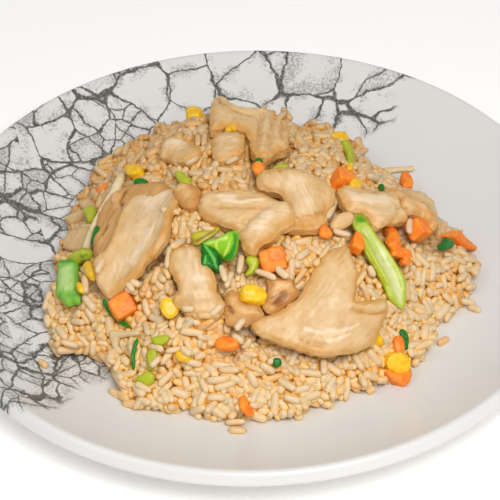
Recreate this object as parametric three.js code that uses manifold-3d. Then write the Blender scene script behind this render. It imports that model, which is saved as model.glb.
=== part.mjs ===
// A round white coupe plate heaped with chicken fried rice: one rigid serving.
// Millimetres, +Z up. The origin is on the table, under the middle of the plate.
// The rice is one uneven heap with bumps of grain size. Each slice of chicken and each
// larger piece of vegetable is a solid of its own, bedded in the heap with a thin gap.

import * as THREE from 'three';
import { mergeVertices } from 'three/addons/utils/BufferGeometryUtils.js';
import Module from 'manifold-3d';

const manifold = await Module();
manifold.setup();

// Plate: a flat well, a wall that curves up to a crest, and a lip that turns down
const FLOOR_Z = 8;
const WELL_RADIUS = 86;
const CREST_RADIUS = 131.5;
const CREST_Z = 24;
const WALL_POWER = 1.8;
const LIP_RADIUS = 135;
const LIP_Z = 19.5;
const LIP_ROUND = 1.6;
const PLATE_THICKNESS = 5;
const FOOT_INNER_RADIUS = 69;
const FOOT_OUTER_RADIUS = 75;
const FOOT_FLARE = 2.5;
const RECESS_Z = 3;
const PLATE_SEGMENTS = 56;
const WALL_STEPS = 5;
const UNDERSIDE_STEPS = 2;

// Heap of rice: its outline radius every 15 degrees from +X, and a dome over it
const HEAP_RADII = [91, 84, 81, 80, 83, 85, 86, 87, 88, 86, 83, 82,
  81.5, 82.5, 97, 84, 96, 92, 94, 90, 90, 90, 87, 94];
const HEAP_EDGE = 3.5;
const HEAP_DOME = 46;
const DOME_POWER = 0.85;
const REPOSE_SLOPE = 1.1;
const SHOULDER = { x: -16, y: 51, height: 5, spread: 17 };
const SWELL = { height: 0.9, alongX: 7, alongY: 9 };

// Grains: boiled long rice, each a ridge on the heap between lower valleys
const GRAIN_COUNT = 315;
const GRAIN_RIDGE = 3.8;
const GRAIN_WIDTH = 4.2;
const GRAIN_SPACING = 7.3;
const POINT_SPACING = 1.5;
const GRAIN_TRIES = 60000;
const GRAIN_REACH = 0.95;
const RIDGE_RISE = 1.1;
const VALLEY_DROP = 0.9;
const EDGE_STEPS = 90;
const EDGE_JITTER = 1.3;
const EDGE_LOWEST = 0.6;
const EDGE_SPREAD = 0.5;

// Share of a topping's width under which the heap has no grains
const SLICE_COVER = 0.4;
const DICE_COVER = 0.35;

// The heap's surface laid out flat as a round disc: its slope lengthens the way to the edge
const UNROLLED_STRETCH = 0.18;
const UNROLLED_RADIUS = 104;

// Every piece keeps this gap to its neighbours
const GAP = 0.3;
const CORNER_ALLOWANCE = 0.2;

// Colours and finishes
const CERAMIC = { color: 0xe4e1da, roughness: 0.15, metalness: 0 };
const RICE = { color: 0xdcb684, roughness: 0.55, metalness: 0 };
const CHICKEN = { color: 0xe6c195, roughness: 0.4, metalness: 0 };
const BROWN_CHICKEN = { color: 0xc99b66, roughness: 0.45, metalness: 0 };
const CARROT = { color: 0xf07c22, roughness: 0.4, metalness: 0 };
const CORN = { color: 0xf0c21c, roughness: 0.3, metalness: 0 };
const STALK = { color: 0xa8d264, roughness: 0.35, metalness: 0 };
const LEAF = { color: 0x1f8f2c, roughness: 0.4, metalness: 0 };
const SPROUT = { color: 0xe3d4b4, roughness: 0.3, metalness: 0 };

// Repeatable random numbers
function randomFrom(seed) {
  let state = seed;
  return () => {
    state = (state + 0x6d2b79f5) | 0;
    let mixed = Math.imul(state ^ (state >>> 15), 1 | state);
    mixed = (mixed + Math.imul(mixed ^ (mixed >>> 7), 61 | mixed)) ^ mixed;
    return ((mixed ^ (mixed >>> 14)) >>> 0) / 4294967296;
  };
}

// Heights of the plate and of the smooth heap

function plateTop(radius) {
  const rise = Math.max(0, (radius - WELL_RADIUS) / (CREST_RADIUS - WELL_RADIUS));
  return FLOOR_Z + (CREST_Z - FLOOR_Z) * rise ** WALL_POWER;
}

function heapRadius(angle) {
  const count = HEAP_RADII.length;
  const turn = (angle / (2 * Math.PI)) * count;
  const first = Math.floor(turn);
  const t = turn - first;
  const [a, b, c, d] = [-1, 0, 1, 2].map((k) => HEAP_RADII[(first + k + 2 * count) % count]);
  const slopeIn = (c - a) / 2;
  const slopeOut = (d - b) / 2;
  const cubic = 2 * b - 2 * c + slopeIn + slopeOut;
  const square = -3 * b + 3 * c - 2 * slopeIn - slopeOut;
  return ((cubic * t + square) * t + slopeIn) * t + b;
}

function heapTop(x, y) {
  const outline = heapRadius(Math.atan2(y, x));
  const reach = Math.min(1, Math.hypot(x, y) / outline);
  const slope = REPOSE_SLOPE * outline * (1 - reach);
  const dome = Math.min(slope, HEAP_DOME * (1 - reach * reach) ** DOME_POWER);
  const away = Math.hypot(x - SHOULDER.x, y - SHOULDER.y) / SHOULDER.spread;
  const shoulder = SHOULDER.height * Math.exp(-away * away);
  const waves = Math.sin(x / SWELL.alongX + 1) * Math.cos(y / SWELL.alongY - 2);
  const swell = SWELL.height * (1 - reach) * waves;
  return FLOOR_Z + HEAP_EDGE + dome + shoulder + swell;
}

function heapNormal(x, y) {
  const step = 4;
  const dx = (heapTop(x + step, y) - heapTop(x - step, y)) / (2 * step);
  const dy = (heapTop(x, y + step) - heapTop(x, y - step)) / (2 * step);
  return new THREE.Vector3(-dx, -dy, 1).normalize();
}

// Closed solids and geometries

function toSolid(geometry) {
  const bare = geometry.clone();
  bare.deleteAttribute('normal');
  bare.deleteAttribute('uv');
  const merged = mergeVertices(bare, 1e-4);
  const vertProperties = new Float32Array(merged.attributes.position.array);
  const triVerts = new Uint32Array(merged.index.array);
  return new manifold.Manifold(new manifold.Mesh({ numProp: 3, vertProperties, triVerts }));
}

function toGeometry(solid) {
  const mesh = solid.getMesh();
  const geometry = new THREE.BufferGeometry();
  geometry.setAttribute('position', new THREE.BufferAttribute(mesh.vertProperties, 3));
  geometry.setIndex(new THREE.BufferAttribute(mesh.triVerts, 1));
  geometry.computeVertexNormals();
  return geometry;
}

function largestPiece(solid) {
  return solid.decompose().sort((a, b) => b.volume() - a.volume())[0];
}

function inflate(geometry, distance) {
  const wide = geometry.clone();
  wide.deleteAttribute('uv');
  wide.deleteAttribute('normal');
  const merged = mergeVertices(wide, 1e-4);
  merged.computeVertexNormals();
  const { position, normal } = merged.attributes;
  for (let i = 0; i < position.count; i += 1) {
    position.setXYZ(
      i,
      position.getX(i) + distance * normal.getX(i),
      position.getY(i) + distance * normal.getY(i),
      position.getZ(i) + distance * normal.getZ(i),
    );
  }
  return merged;
}

function fromTriangles(points, triangles) {
  const geometry = new THREE.BufferGeometry();
  geometry.setAttribute('position', new THREE.Float32BufferAttribute(points.flat(), 3));
  geometry.setIndex(triangles.flat());
  geometry.computeVertexNormals();
  return geometry;
}

// Plate

function plateGeometry() {
  const profile = [new THREE.Vector2(0, FLOOR_Z)];
  for (let step = 0; step <= WALL_STEPS; step += 1) {
    const radius = THREE.MathUtils.lerp(WELL_RADIUS, CREST_RADIUS, step / WALL_STEPS);
    profile.push(new THREE.Vector2(radius, plateTop(radius)));
  }
  profile.push(new THREE.Vector2(CREST_RADIUS + LIP_ROUND, CREST_Z - LIP_ROUND / 4));
  profile.push(new THREE.Vector2(LIP_RADIUS - LIP_ROUND / 4, LIP_Z + LIP_ROUND));
  profile.push(new THREE.Vector2(LIP_RADIUS, LIP_Z));
  profile.push(new THREE.Vector2(LIP_RADIUS - LIP_ROUND * 0.75, LIP_Z - LIP_ROUND));
  profile.push(new THREE.Vector2(CREST_RADIUS - LIP_ROUND, LIP_Z - LIP_ROUND));
  for (let step = UNDERSIDE_STEPS - 1; step >= 1; step -= 1) {
    const radius = THREE.MathUtils.lerp(WELL_RADIUS, CREST_RADIUS, step / UNDERSIDE_STEPS);
    profile.push(new THREE.Vector2(radius, plateTop(radius) - PLATE_THICKNESS));
  }
  profile.push(new THREE.Vector2(FOOT_OUTER_RADIUS + FOOT_FLARE, RECESS_Z));
  profile.push(new THREE.Vector2(FOOT_OUTER_RADIUS, 0));
  profile.push(new THREE.Vector2(FOOT_INNER_RADIUS, 0));
  profile.push(new THREE.Vector2(FOOT_INNER_RADIUS - FOOT_FLARE, RECESS_Z));
  profile.push(new THREE.Vector2(0, RECESS_Z));
  return new THREE.LatheGeometry(profile.reverse(), PLATE_SEGMENTS).rotateX(Math.PI / 2);
}

// Delaunay triangulation of points inside a round outline, by adding one point at a time

function circleThrough([ax, ay], [bx, by], [cx, cy]) {
  const d = 2 * (ax * (by - cy) + bx * (cy - ay) + cx * (ay - by));
  const [a2, b2, c2] = [ax * ax + ay * ay, bx * bx + by * by, cx * cx + cy * cy];
  const x = (a2 * (by - cy) + b2 * (cy - ay) + c2 * (ay - by)) / d;
  const y = (a2 * (cx - bx) + b2 * (ax - cx) + c2 * (bx - ax)) / d;
  return { x, y, r2: (ax - x) ** 2 + (ay - y) ** 2 };
}

function triangulate(flat) {
  const far = 1e4;
  const points = [...flat, [-far, -far], [far, -far], [0, far]];
  const count = flat.length;
  const make = (a, b, c) => {
    const circle = circleThrough(points[a], points[b], points[c]);
    return { corners: [a, b, c], circle };
  };
  let triangles = [make(count, count + 1, count + 2)];
  for (let p = 0; p < count; p += 1) {
    const [x, y] = points[p];
    const kept = [];
    const edges = new Map();
    for (const triangle of triangles) {
      const { circle, corners } = triangle;
      if ((x - circle.x) ** 2 + (y - circle.y) ** 2 >= circle.r2) {
        kept.push(triangle);
        continue;
      }
      for (let k = 0; k < 3; k += 1) {
        const [from, to] = [corners[k], corners[(k + 1) % 3]];
        if (!edges.delete(`${to} ${from}`)) {
          edges.set(`${from} ${to}`, [from, to]);
        }
      }
    }
    for (const [from, to] of edges.values()) {
      kept.push(make(from, to, p));
    }
    triangles = kept;
  }
  return triangles.map((t) => t.corners).filter((corners) => corners.every((c) => c < count));
}

// Heap of rice

// Discs that the toppings cover, where the heap needs no grains
function coveredDiscs() {
  const slices = [...Object.values(CHICKEN_PIECES), ...Object.values(STALK_PIECES)];
  const along = slices.flatMap(({ stations }) => stations.flatMap((station, k) => {
    const next = stations[Math.min(k + 1, stations.length - 1)];
    return [0, 0.5].map((t) => {
      const [x, y, , left, right] = station.map((value, i) => THREE.MathUtils.lerp(value, next[i], t));
      return { x, y, radius: SLICE_COVER * (left + right) };
    });
  }));
  const diced = [...CARROT_PIECES, ...CORN_PIECES].map(({ at: [x, y], size }) => {
    return { x, y, radius: DICE_COVER * size[0] };
  });
  return [...along, ...diced];
}

// A point of the heap on that flat disc
function unrolled(x, y) {
  const angle = Math.atan2(y, x);
  const reach = Math.hypot(x, y) / heapRadius(angle);
  const along = (reach * (1 + UNROLLED_STRETCH * reach * reach)) / (1 + UNROLLED_STRETCH);
  return [UNROLLED_RADIUS * along * Math.cos(angle), UNROLLED_RADIUS * along * Math.sin(angle)];
}

// The point at a distance along the slope, where direction 0 is outward from the middle
function onSlope(x, y, direction, distance) {
  const normal = heapNormal(x, y);
  const outward = Math.atan2(y, x);
  const radial = distance * Math.cos(direction) * normal.z;
  const sideways = distance * Math.sin(direction);
  return [
    x + radial * Math.cos(outward) - sideways * Math.sin(outward),
    y + radial * Math.sin(outward) + sideways * Math.cos(outward),
  ];
}

// Points of the grains: two on each ridge, and one in the valley on each side of it
function heapPoints() {
  const random = randomFrom(11);
  const points = [];
  const flat = [];
  const middles = [];
  const discs = coveredDiscs();
  const addPoint = (x, y, rise) => {
    const surface = new THREE.Vector3(x, y, heapTop(x, y));
    points.push(surface.addScaledVector(heapNormal(x, y), rise).toArray());
    flat.push(unrolled(x, y));
  };
  let tries = 0;
  while (middles.length < GRAIN_COUNT && tries < GRAIN_TRIES) {
    tries += 1;
    const angle = random() * 2 * Math.PI;
    const reach = GRAIN_REACH * Math.sqrt(random());
    const radius = reach * heapRadius(angle);
    const [x, y] = [radius * Math.cos(angle), radius * Math.sin(angle)];
    const [u, v] = unrolled(x, y);
    const direction = random() * Math.PI;
    const covered = discs.some((disc) => Math.hypot(x - disc.x, y - disc.y) < disc.radius);
    if (covered || middles.some((m) => Math.hypot(m[0] - u, m[1] - v) < GRAIN_SPACING)) {
      continue;
    }
    const ends = [-0.5, 0.5].map((k) => onSlope(x, y, direction, k * GRAIN_RIDGE));
    const sides = [-0.5, 0.5].map((k) => onSlope(x, y, direction + Math.PI / 2, k * GRAIN_WIDTH));
    const fresh = [...ends, ...sides];
    const crowded = fresh.some(([fx, fy]) => {
      const [fu, fv] = unrolled(fx, fy);
      const close = flat.some(([pu, pv]) => Math.hypot(pu - fu, pv - fv) < POINT_SPACING);
      return close || Math.hypot(fu, fv) > UNROLLED_RADIUS - POINT_SPACING;
    });
    if (crowded) {
      continue;
    }
    middles.push([u, v]);
    const tip = (random() - 0.5) * RIDGE_RISE;
    ends.forEach(([ex, ey], k) => addPoint(ex, ey, RIDGE_RISE + (k ? tip : -tip)));
    sides.forEach(([sx, sy]) => addPoint(sx, sy, -VALLEY_DROP));
  }
  return { points, flat };
}

function heapGeometry() {
  const random = randomFrom(5);
  const { points, flat } = heapPoints();
  const firstEdge = points.length;
  for (let step = 0; step < EDGE_STEPS; step += 1) {
    const angle = (step / EDGE_STEPS) * 2 * Math.PI;
    const radius = heapRadius(angle) + EDGE_JITTER * (random() * 2 - 1);
    const [x, y] = [radius * Math.cos(angle), radius * Math.sin(angle)];
    points.push([x, y, plateTop(radius) + HEAP_EDGE * (EDGE_LOWEST + EDGE_SPREAD * random())]);
    flat.push([UNROLLED_RADIUS * Math.cos(angle), UNROLLED_RADIUS * Math.sin(angle)]);
  }
  const triangles = triangulate(flat);
  const firstFoot = points.length;
  for (let step = 0; step < EDGE_STEPS; step += 1) {
    const [x, y] = points[firstEdge + step];
    points.push([x, y, plateTop(Math.hypot(x, y)) + GAP]);
  }
  const centre = points.length;
  points.push([0, 0, FLOOR_Z + GAP]);
  for (let step = 0; step < EDGE_STEPS; step += 1) {
    const next = (step + 1) % EDGE_STEPS;
    const [edge, edgeNext] = [firstEdge + step, firstEdge + next];
    const [foot, footNext] = [firstFoot + step, firstFoot + next];
    triangles.push([edge, foot, footNext], [edge, footNext, edgeNext], [foot, centre, footNext]);
  }
  return fromTriangles(points, triangles);
}

// Slice: rounded sections along a spine that lies over the heap. A station is
// [x, y, lift, left, right, thickness]: lift is the height of its middle over the smooth
// heap, and left and right are how far the slice reaches to each side of the spine.

const SLICE = { rings: 8, sides: 8, cap: 0.16, square: 2.5, lumps: 0.05, roll: 0, seed: 1 };

function sliceGeometry(stations, shape) {
  const { rings, sides, cap, square, lumps, roll, seed } = { ...SLICE, ...shape };
  const random = randomFrom(seed);
  const phases = [0, 1, 2].map(() => random() * 2 * Math.PI);
  const middles = stations.map(([x, y, lift]) => new THREE.Vector3(x, y, heapTop(x, y) + lift));
  const spine = new THREE.CatmullRomCurve3(middles, false, 'centripetal');
  const reaches = new THREE.CatmullRomCurve3(
    stations.map(([, , , left, right, thick]) => new THREE.Vector3(left, right, thick)),
    false,
    'catmullrom',
    0.4,
  );
  const points = [];
  const triangles = [];
  for (let ring = 0; ring <= rings; ring += 1) {
    const t = 0.5 - 0.5 * Math.cos((Math.PI * ring) / rings);
    const centre = spine.getPoint(t);
    if (ring === 0 || ring === rings) {
      points.push(centre.toArray());
      continue;
    }
    const along = spine.getTangent(t);
    const up = heapNormal(centre.x, centre.y).applyAxisAngle(along, THREE.MathUtils.degToRad(roll));
    const side = new THREE.Vector3().crossVectors(up, along).normalize();
    up.crossVectors(along, side).normalize();
    const near = Math.min(1, Math.min(t, 1 - t) / cap);
    const swell = Math.sqrt(1 - (1 - near) ** 2);
    const reach = reaches.getPoint(t);
    for (let k = 0; k < sides; k += 1) {
      const angle = (k / sides) * 2 * Math.PI;
      const [c, s] = [Math.cos(angle), Math.sin(angle)];
      const lump = 1 + lumps * (Math.sin(2 * angle + phases[0] + 7 * t) + Math.sin(9 * t + phases[1]));
      const across = Math.sign(c) * Math.abs(c) ** (2 / square) * (c > 0 ? reach.x : reach.y);
      const rise = Math.sign(s) * Math.abs(s) ** (2 / square) * (reach.z / 2);
      const wave = lumps * reach.z * Math.sin(11 * t + 3 * c + phases[2]);
      const point = centre.clone()
        .addScaledVector(side, across * swell * lump)
        .addScaledVector(up, rise * swell ** 0.7 * lump + wave);
      points.push(point.toArray());
    }
  }
  const last = points.length - 1;
  const at = (ring, k) => 1 + (ring - 1) * sides + (k % sides);
  for (let k = 0; k < sides; k += 1) {
    triangles.push([0, at(1, k + 1), at(1, k)]);
    triangles.push([last, at(rings - 1, k), at(rings - 1, k + 1)]);
    for (let ring = 1; ring < rings - 1; ring += 1) {
      triangles.push([at(ring, k), at(ring, k + 1), at(ring + 1, k + 1)]);
      triangles.push([at(ring, k), at(ring + 1, k + 1), at(ring + 1, k)]);
    }
  }
  return fromTriangles(points, triangles);
}

// Pieces that lie on the heap, turned about its normal and then tilted

function bedded(geometry, { at: [x, y], lift = 0, turn = 0, tilt = 0, roll = 0 }) {
  const normal = heapNormal(x, y);
  const stand = new THREE.Quaternion().setFromUnitVectors(new THREE.Vector3(0, 0, 1), normal);
  const spin = new THREE.Quaternion().setFromEuler(
    new THREE.Euler(THREE.MathUtils.degToRad(roll), THREE.MathUtils.degToRad(tilt),
      THREE.MathUtils.degToRad(turn), 'ZYX'),
  );
  const place = new THREE.Vector3(x, y, heapTop(x, y)).addScaledVector(normal, lift);
  const matrix = new THREE.Matrix4().compose(place, stand.multiply(spin), new THREE.Vector3(1, 1, 1));
  return geometry.applyMatrix4(matrix);
}

// A diced piece with softened corners; taper narrows its +X end
function diceGeometry([length, width, height], { round = 0.16, taper = 0, segments = 1 } = {}) {
  const box = new THREE.BoxGeometry(1, 1, 1, segments, segments, segments);
  const { position } = box.attributes;
  for (let i = 0; i < position.count; i += 1) {
    const p = new THREE.Vector3().fromBufferAttribute(position, i).multiplyScalar(2);
    const corners = p.lengthSq() - 1;
    const soft = segments > 1 ? 1 - (round * corners) / 2 : 1;
    const narrow = 1 - taper * (p.x + 1) * 0.5;
    position.setXYZ(i, (p.x * soft * length) / 2, (p.y * soft * narrow * width) / 2,
      (p.z * soft * narrow * height) / 2);
  }
  return box;
}

// A thin leaf: a grid of points waved up and down, with the same triangles on both faces
function leafGeometry({ length, width, thick, wave, curl, steps = 4, rows = 2 }) {
  const points = [];
  const triangles = [];
  for (const face of [1, -1]) {
    for (let i = 0; i <= steps; i += 1) {
      for (let j = 0; j <= rows; j += 1) {
        const [u, v] = [i / steps - 0.5, j / rows - 0.5];
        const outline = Math.sqrt(Math.max(0.25, 1 - 2.4 * u * u));
        const z = wave * Math.sin(9 * u + 4 * v) + curl * (u * u * 4 - 0.5) + (face * thick) / 2;
        points.push([u * length, v * width * outline, z]);
      }
    }
  }
  const layer = (steps + 1) * (rows + 1);
  const at = (face, i, j) => face * layer + i * (rows + 1) + j;
  for (let i = 0; i < steps; i += 1) {
    for (let j = 0; j < rows; j += 1) {
      const top = [at(0, i, j), at(0, i + 1, j), at(0, i + 1, j + 1), at(0, i, j + 1)];
      const low = top.map((corner) => corner + layer);
      triangles.push([top[0], top[1], top[2]], [top[0], top[2], top[3]]);
      triangles.push([low[0], low[2], low[1]], [low[0], low[3], low[2]]);
    }
  }
  const rim = [];
  for (let i = 0; i < steps; i += 1) rim.push(at(0, i, 0));
  for (let j = 0; j < rows; j += 1) rim.push(at(0, steps, j));
  for (let i = steps; i > 0; i -= 1) rim.push(at(0, i, rows));
  for (let j = rows; j > 0; j -= 1) rim.push(at(0, 0, j));
  rim.forEach((corner, k) => {
    const next = rim[(k + 1) % rim.length];
    triangles.push([corner, corner + layer, next + layer], [corner, next + layer, next]);
  });
  return fromTriangles(points, triangles);
}

// Chicken: pale slices and browner bits, the large ones first. A flap is a fold of the same slice.
const BIT = { rings: 6, sides: 6, cap: 0.4 };
const CHICKEN_PIECES = {
  chicken_front_fin: {
    seed: 3, cap: 0.1,
    stations: [[-1, -69.5, 1, 1.5, 2, 4], [9, -70, 2.5, 4.5, 5.5, 7], [20, -66.5, 3.5, 7.5, 9.5, 9],
      [31, -60, 4, 11, 18, 10], [36, -49, 3, 8.5, 5, 8], [35.5, -35.5, 1.5, 1.5, 1.5, 4]],
    flap: [[36, -54.5, 3.5, 3, 3, 5], [44, -56, 3, 3.5, 5, 6], [52.5, -58.5, 1.5, 2.5, 3, 4]],
  },
  chicken_left_slab: {
    seed: 4, cap: 0.1, square: 3.2,
    stations: [[-36, -2, 1.5, 7.5, 7.5, 5], [-41, -15, 2.5, 9.5, 9.5, 6], [-46, -27, 3, 11, 10, 7],
      [-52, -36, 2.5, 10.5, 10, 6.5], [-60.5, -43.5, 1, 4, 4, 4]],
  },
  chicken_centre: {
    seed: 5, rings: 11,
    stations: [[-21, -21, 1.5, 4, 4, 5], [-12, -24, 2.5, 7.5, 6.5, 8], [-1, -26, 3, 8, 8, 9],
      [7, -30, 3.5, 11, 8, 11], [4, -38, 3, 6, 6.5, 10], [0, -46, 1, 3, 3.5, 6]],
  },
  chicken_arch: {
    seed: 6, rings: 11,
    stations: [[2, -10, 1.5, 3.5, 3.5, 6], [12, -9, 3, 6, 6, 9], [21, -11.5, 3.5, 8.5, 6.5, 11],
      [25, -19, 3.5, 7.5, 7, 11], [21, -27, 2, 5, 5.5, 8], [14.5, -32, 1, 2, 2.5, 5]],
  },
  chicken_right: {
    seed: 7, rings: 12,
    stations: [[35, -12, 1.5, 4, 4, 6], [44, -13, 2.5, 6.5, 7, 9], [54, -12, 2.5, 7.5, 9, 9],
      [62, -5, 2.5, 5.5, 7, 8], [69, -1, 2.5, 5.5, 5, 7], [75, -7, 2, 4.5, 4.5, 6],
      [74.5, -14, 1, 2.5, 2.5, 4]],
  },
  chicken_mid_left: {
    seed: 8,
    stations: [[-27, -36.5, 1.5, 5.5, 5.5, 6], [-25.5, -46, 3, 6.5, 6.5, 9], [-23.5, -55, 3, 7.5, 7, 9],
      [-20, -63, 1.5, 6, 6.5, 6], [-18, -68, 0.5, 3, 3, 3]],
  },
  chicken_back_fold: {
    seed: 9, rings: 11,
    stations: [[-19, 44, 1.5, 5, 5, 9], [-12, 46, 3.5, 7, 8, 11], [0, 43, 3.5, 9, 12, 10],
      [10, 36, 3, 9, 12, 9], [16, 26, 2.5, 7, 8, 8], [17, 17, 1, 3, 3, 5]],
  },
  chicken_left_under: {
    seed: 10, sides: 7, brown: true,
    stations: [[-40, 4, 0.5, 3, 3, 4], [-49, 2, 1.5, 5, 5.5, 7], [-56, -7, 1.5, 5, 5, 7],
      [-60, -18, 1, 4, 4, 6], [-61.5, -26, 0.5, 2, 2, 3]],
  },
  chicken_back_slice: {
    seed: 16, sides: 7,
    stations: [[-67, 41, 1, 3, 3, 4], [-59, 54, 1.5, 6, 6, 6], [-47, 66, 1.5, 6, 6, 6],
      [-35, 74, 0.5, 3, 3, 4]],
  },
  chicken_back_round: {
    ...BIT, seed: 11,
    stations: [[-16, 13, 1, 5, 5, 6], [-9, 13.5, 2.5, 6.5, 6.5, 10], [-2, 12, 1, 5, 5, 6]],
  },
  chicken_back_left: {
    ...BIT, seed: 12,
    stations: [[-38, 20, 1, 5, 5, 6], [-31, 21, 2, 6, 6, 9], [-24, 21, 1, 5, 5, 6]],
  },
  chicken_left_chunk: {
    ...BIT, seed: 13, brown: true,
    stations: [[-33, -14, 0.5, 4, 4, 5], [-26, -15, 1.5, 5, 5, 8], [-20, -13, 0.5, 3, 3, 5]],
  },
  chicken_small_centre: {
    ...BIT, seed: 14, cap: 0.3,
    stations: [[-12, -59.5, 0.5, 3, 3, 5], [-6, -63, 2, 4.5, 4.5, 7], [0, -67, 2, 4, 4, 7],
      [5, -70.5, 0.5, 2, 2, 3]],
  },
  chicken_brown_bit: {
    ...BIT, seed: 15, brown: true,
    stations: [[3, -60, 0.5, 4, 4, 5], [10, -58, 2, 5.5, 5.5, 8], [19, -55, 0.5, 4, 4, 5]],
  },
};

// Carrot: dice and slivers, with softer corners on the larger ones
const CARROT_PIECES = [
  { at: [-51.8, -46.9], size: [9.5, 9, 9], turn: 25, tilt: 20, lift: 1.5, segments: 2 },
  { at: [7.4, -44.5], size: [10, 9.5, 9], turn: 15, tilt: -15, roll: 20, lift: 2.5, segments: 2 },
  { at: [37.1, 0.2], size: [7.5, 7, 7], turn: 5, tilt: 10, lift: 1.5 },
  { at: [66.9, -13.8], size: [8, 7, 6.5], turn: 35, tilt: 15, lift: 1.5 },
  { at: [56.7, -23.5], size: [6.5, 6, 7], turn: 20, tilt: -10, lift: 1.5 },
  { at: [60.1, -28.8], size: [8, 3.5, 3], turn: -20, tilt: 10, lift: 1.5 },
  { at: [41.3, -30.2], size: [4.5, 7, 4.5], turn: -10, lift: 1.2 },
  { at: [86, -1.5], size: [14, 5.5, 3.5], turn: 35, roll: 35, lift: 1.5 },
  { at: [57, -68.5], size: [8, 6, 4.5], turn: -30, taper: 0.5, lift: 0.5 },
  { at: [-3.7, -89], size: [8, 2.6, 2.6], turn: -60, tilt: 10, lift: 1 },
  { at: [-10.6, -73.6], size: [8, 3, 3], turn: 8, lift: 1 },
  { at: [67, 42], size: [3.2, 5.5, 4], turn: 40, tilt: 60, lift: 2 },
  { at: [10, 72], size: [8, 7.5, 7], turn: 30, tilt: 15, lift: 0.5 },
  { at: [-36, 70], size: [7, 7, 6.5], turn: 55, tilt: -10, lift: 0.3 },
  { at: [44, 65], size: [7.5, 6.5, 6.5], turn: 10, tilt: 20, lift: 0.8 },
];

// Sweetcorn kernels: wide at the crown, narrow at the root
const CORN_PIECES = [
  { at: [0, -58], size: [11, 8.5, 8], turn: -8, tilt: 8, roll: -10, lift: 2.5, segments: 2 },
  { at: [56, -64.5], size: [8, 8, 7], turn: 60, tilt: -20, lift: 2.5, segments: 2 },
  { at: [-32.8, -58.9], size: [7, 6.5, 6], turn: -35, tilt: 25, lift: 1.5, segments: 2 },
  { at: [-65.4, -32.2], size: [6.5, 5, 5], turn: 70, tilt: 10, lift: 1 },
  { at: [-5.5, 32.9], size: [9, 5, 5], turn: 5, tilt: 0, lift: 2.5 },
  { at: [-24.5, 58], size: [7.5, 6, 6], turn: 5, tilt: 10, lift: 2 },
  { at: [-49.1, 20.8], size: [6, 4.5, 4.5], turn: 10, lift: 1.5 },
  { at: [38.5, 56.9], size: [7, 5, 4.5], turn: -25, lift: 2 },
  { at: [48.4, -64.9], size: [5.5, 4.5, 4.5], turn: 30, lift: 1 },
  { at: [30, 72], size: [7.5, 6, 6], turn: 70, tilt: 10, lift: 0.5 },
  { at: [-8, 79], size: [7, 6, 5.5], turn: 20, tilt: -10, lift: 1 },
];

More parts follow.
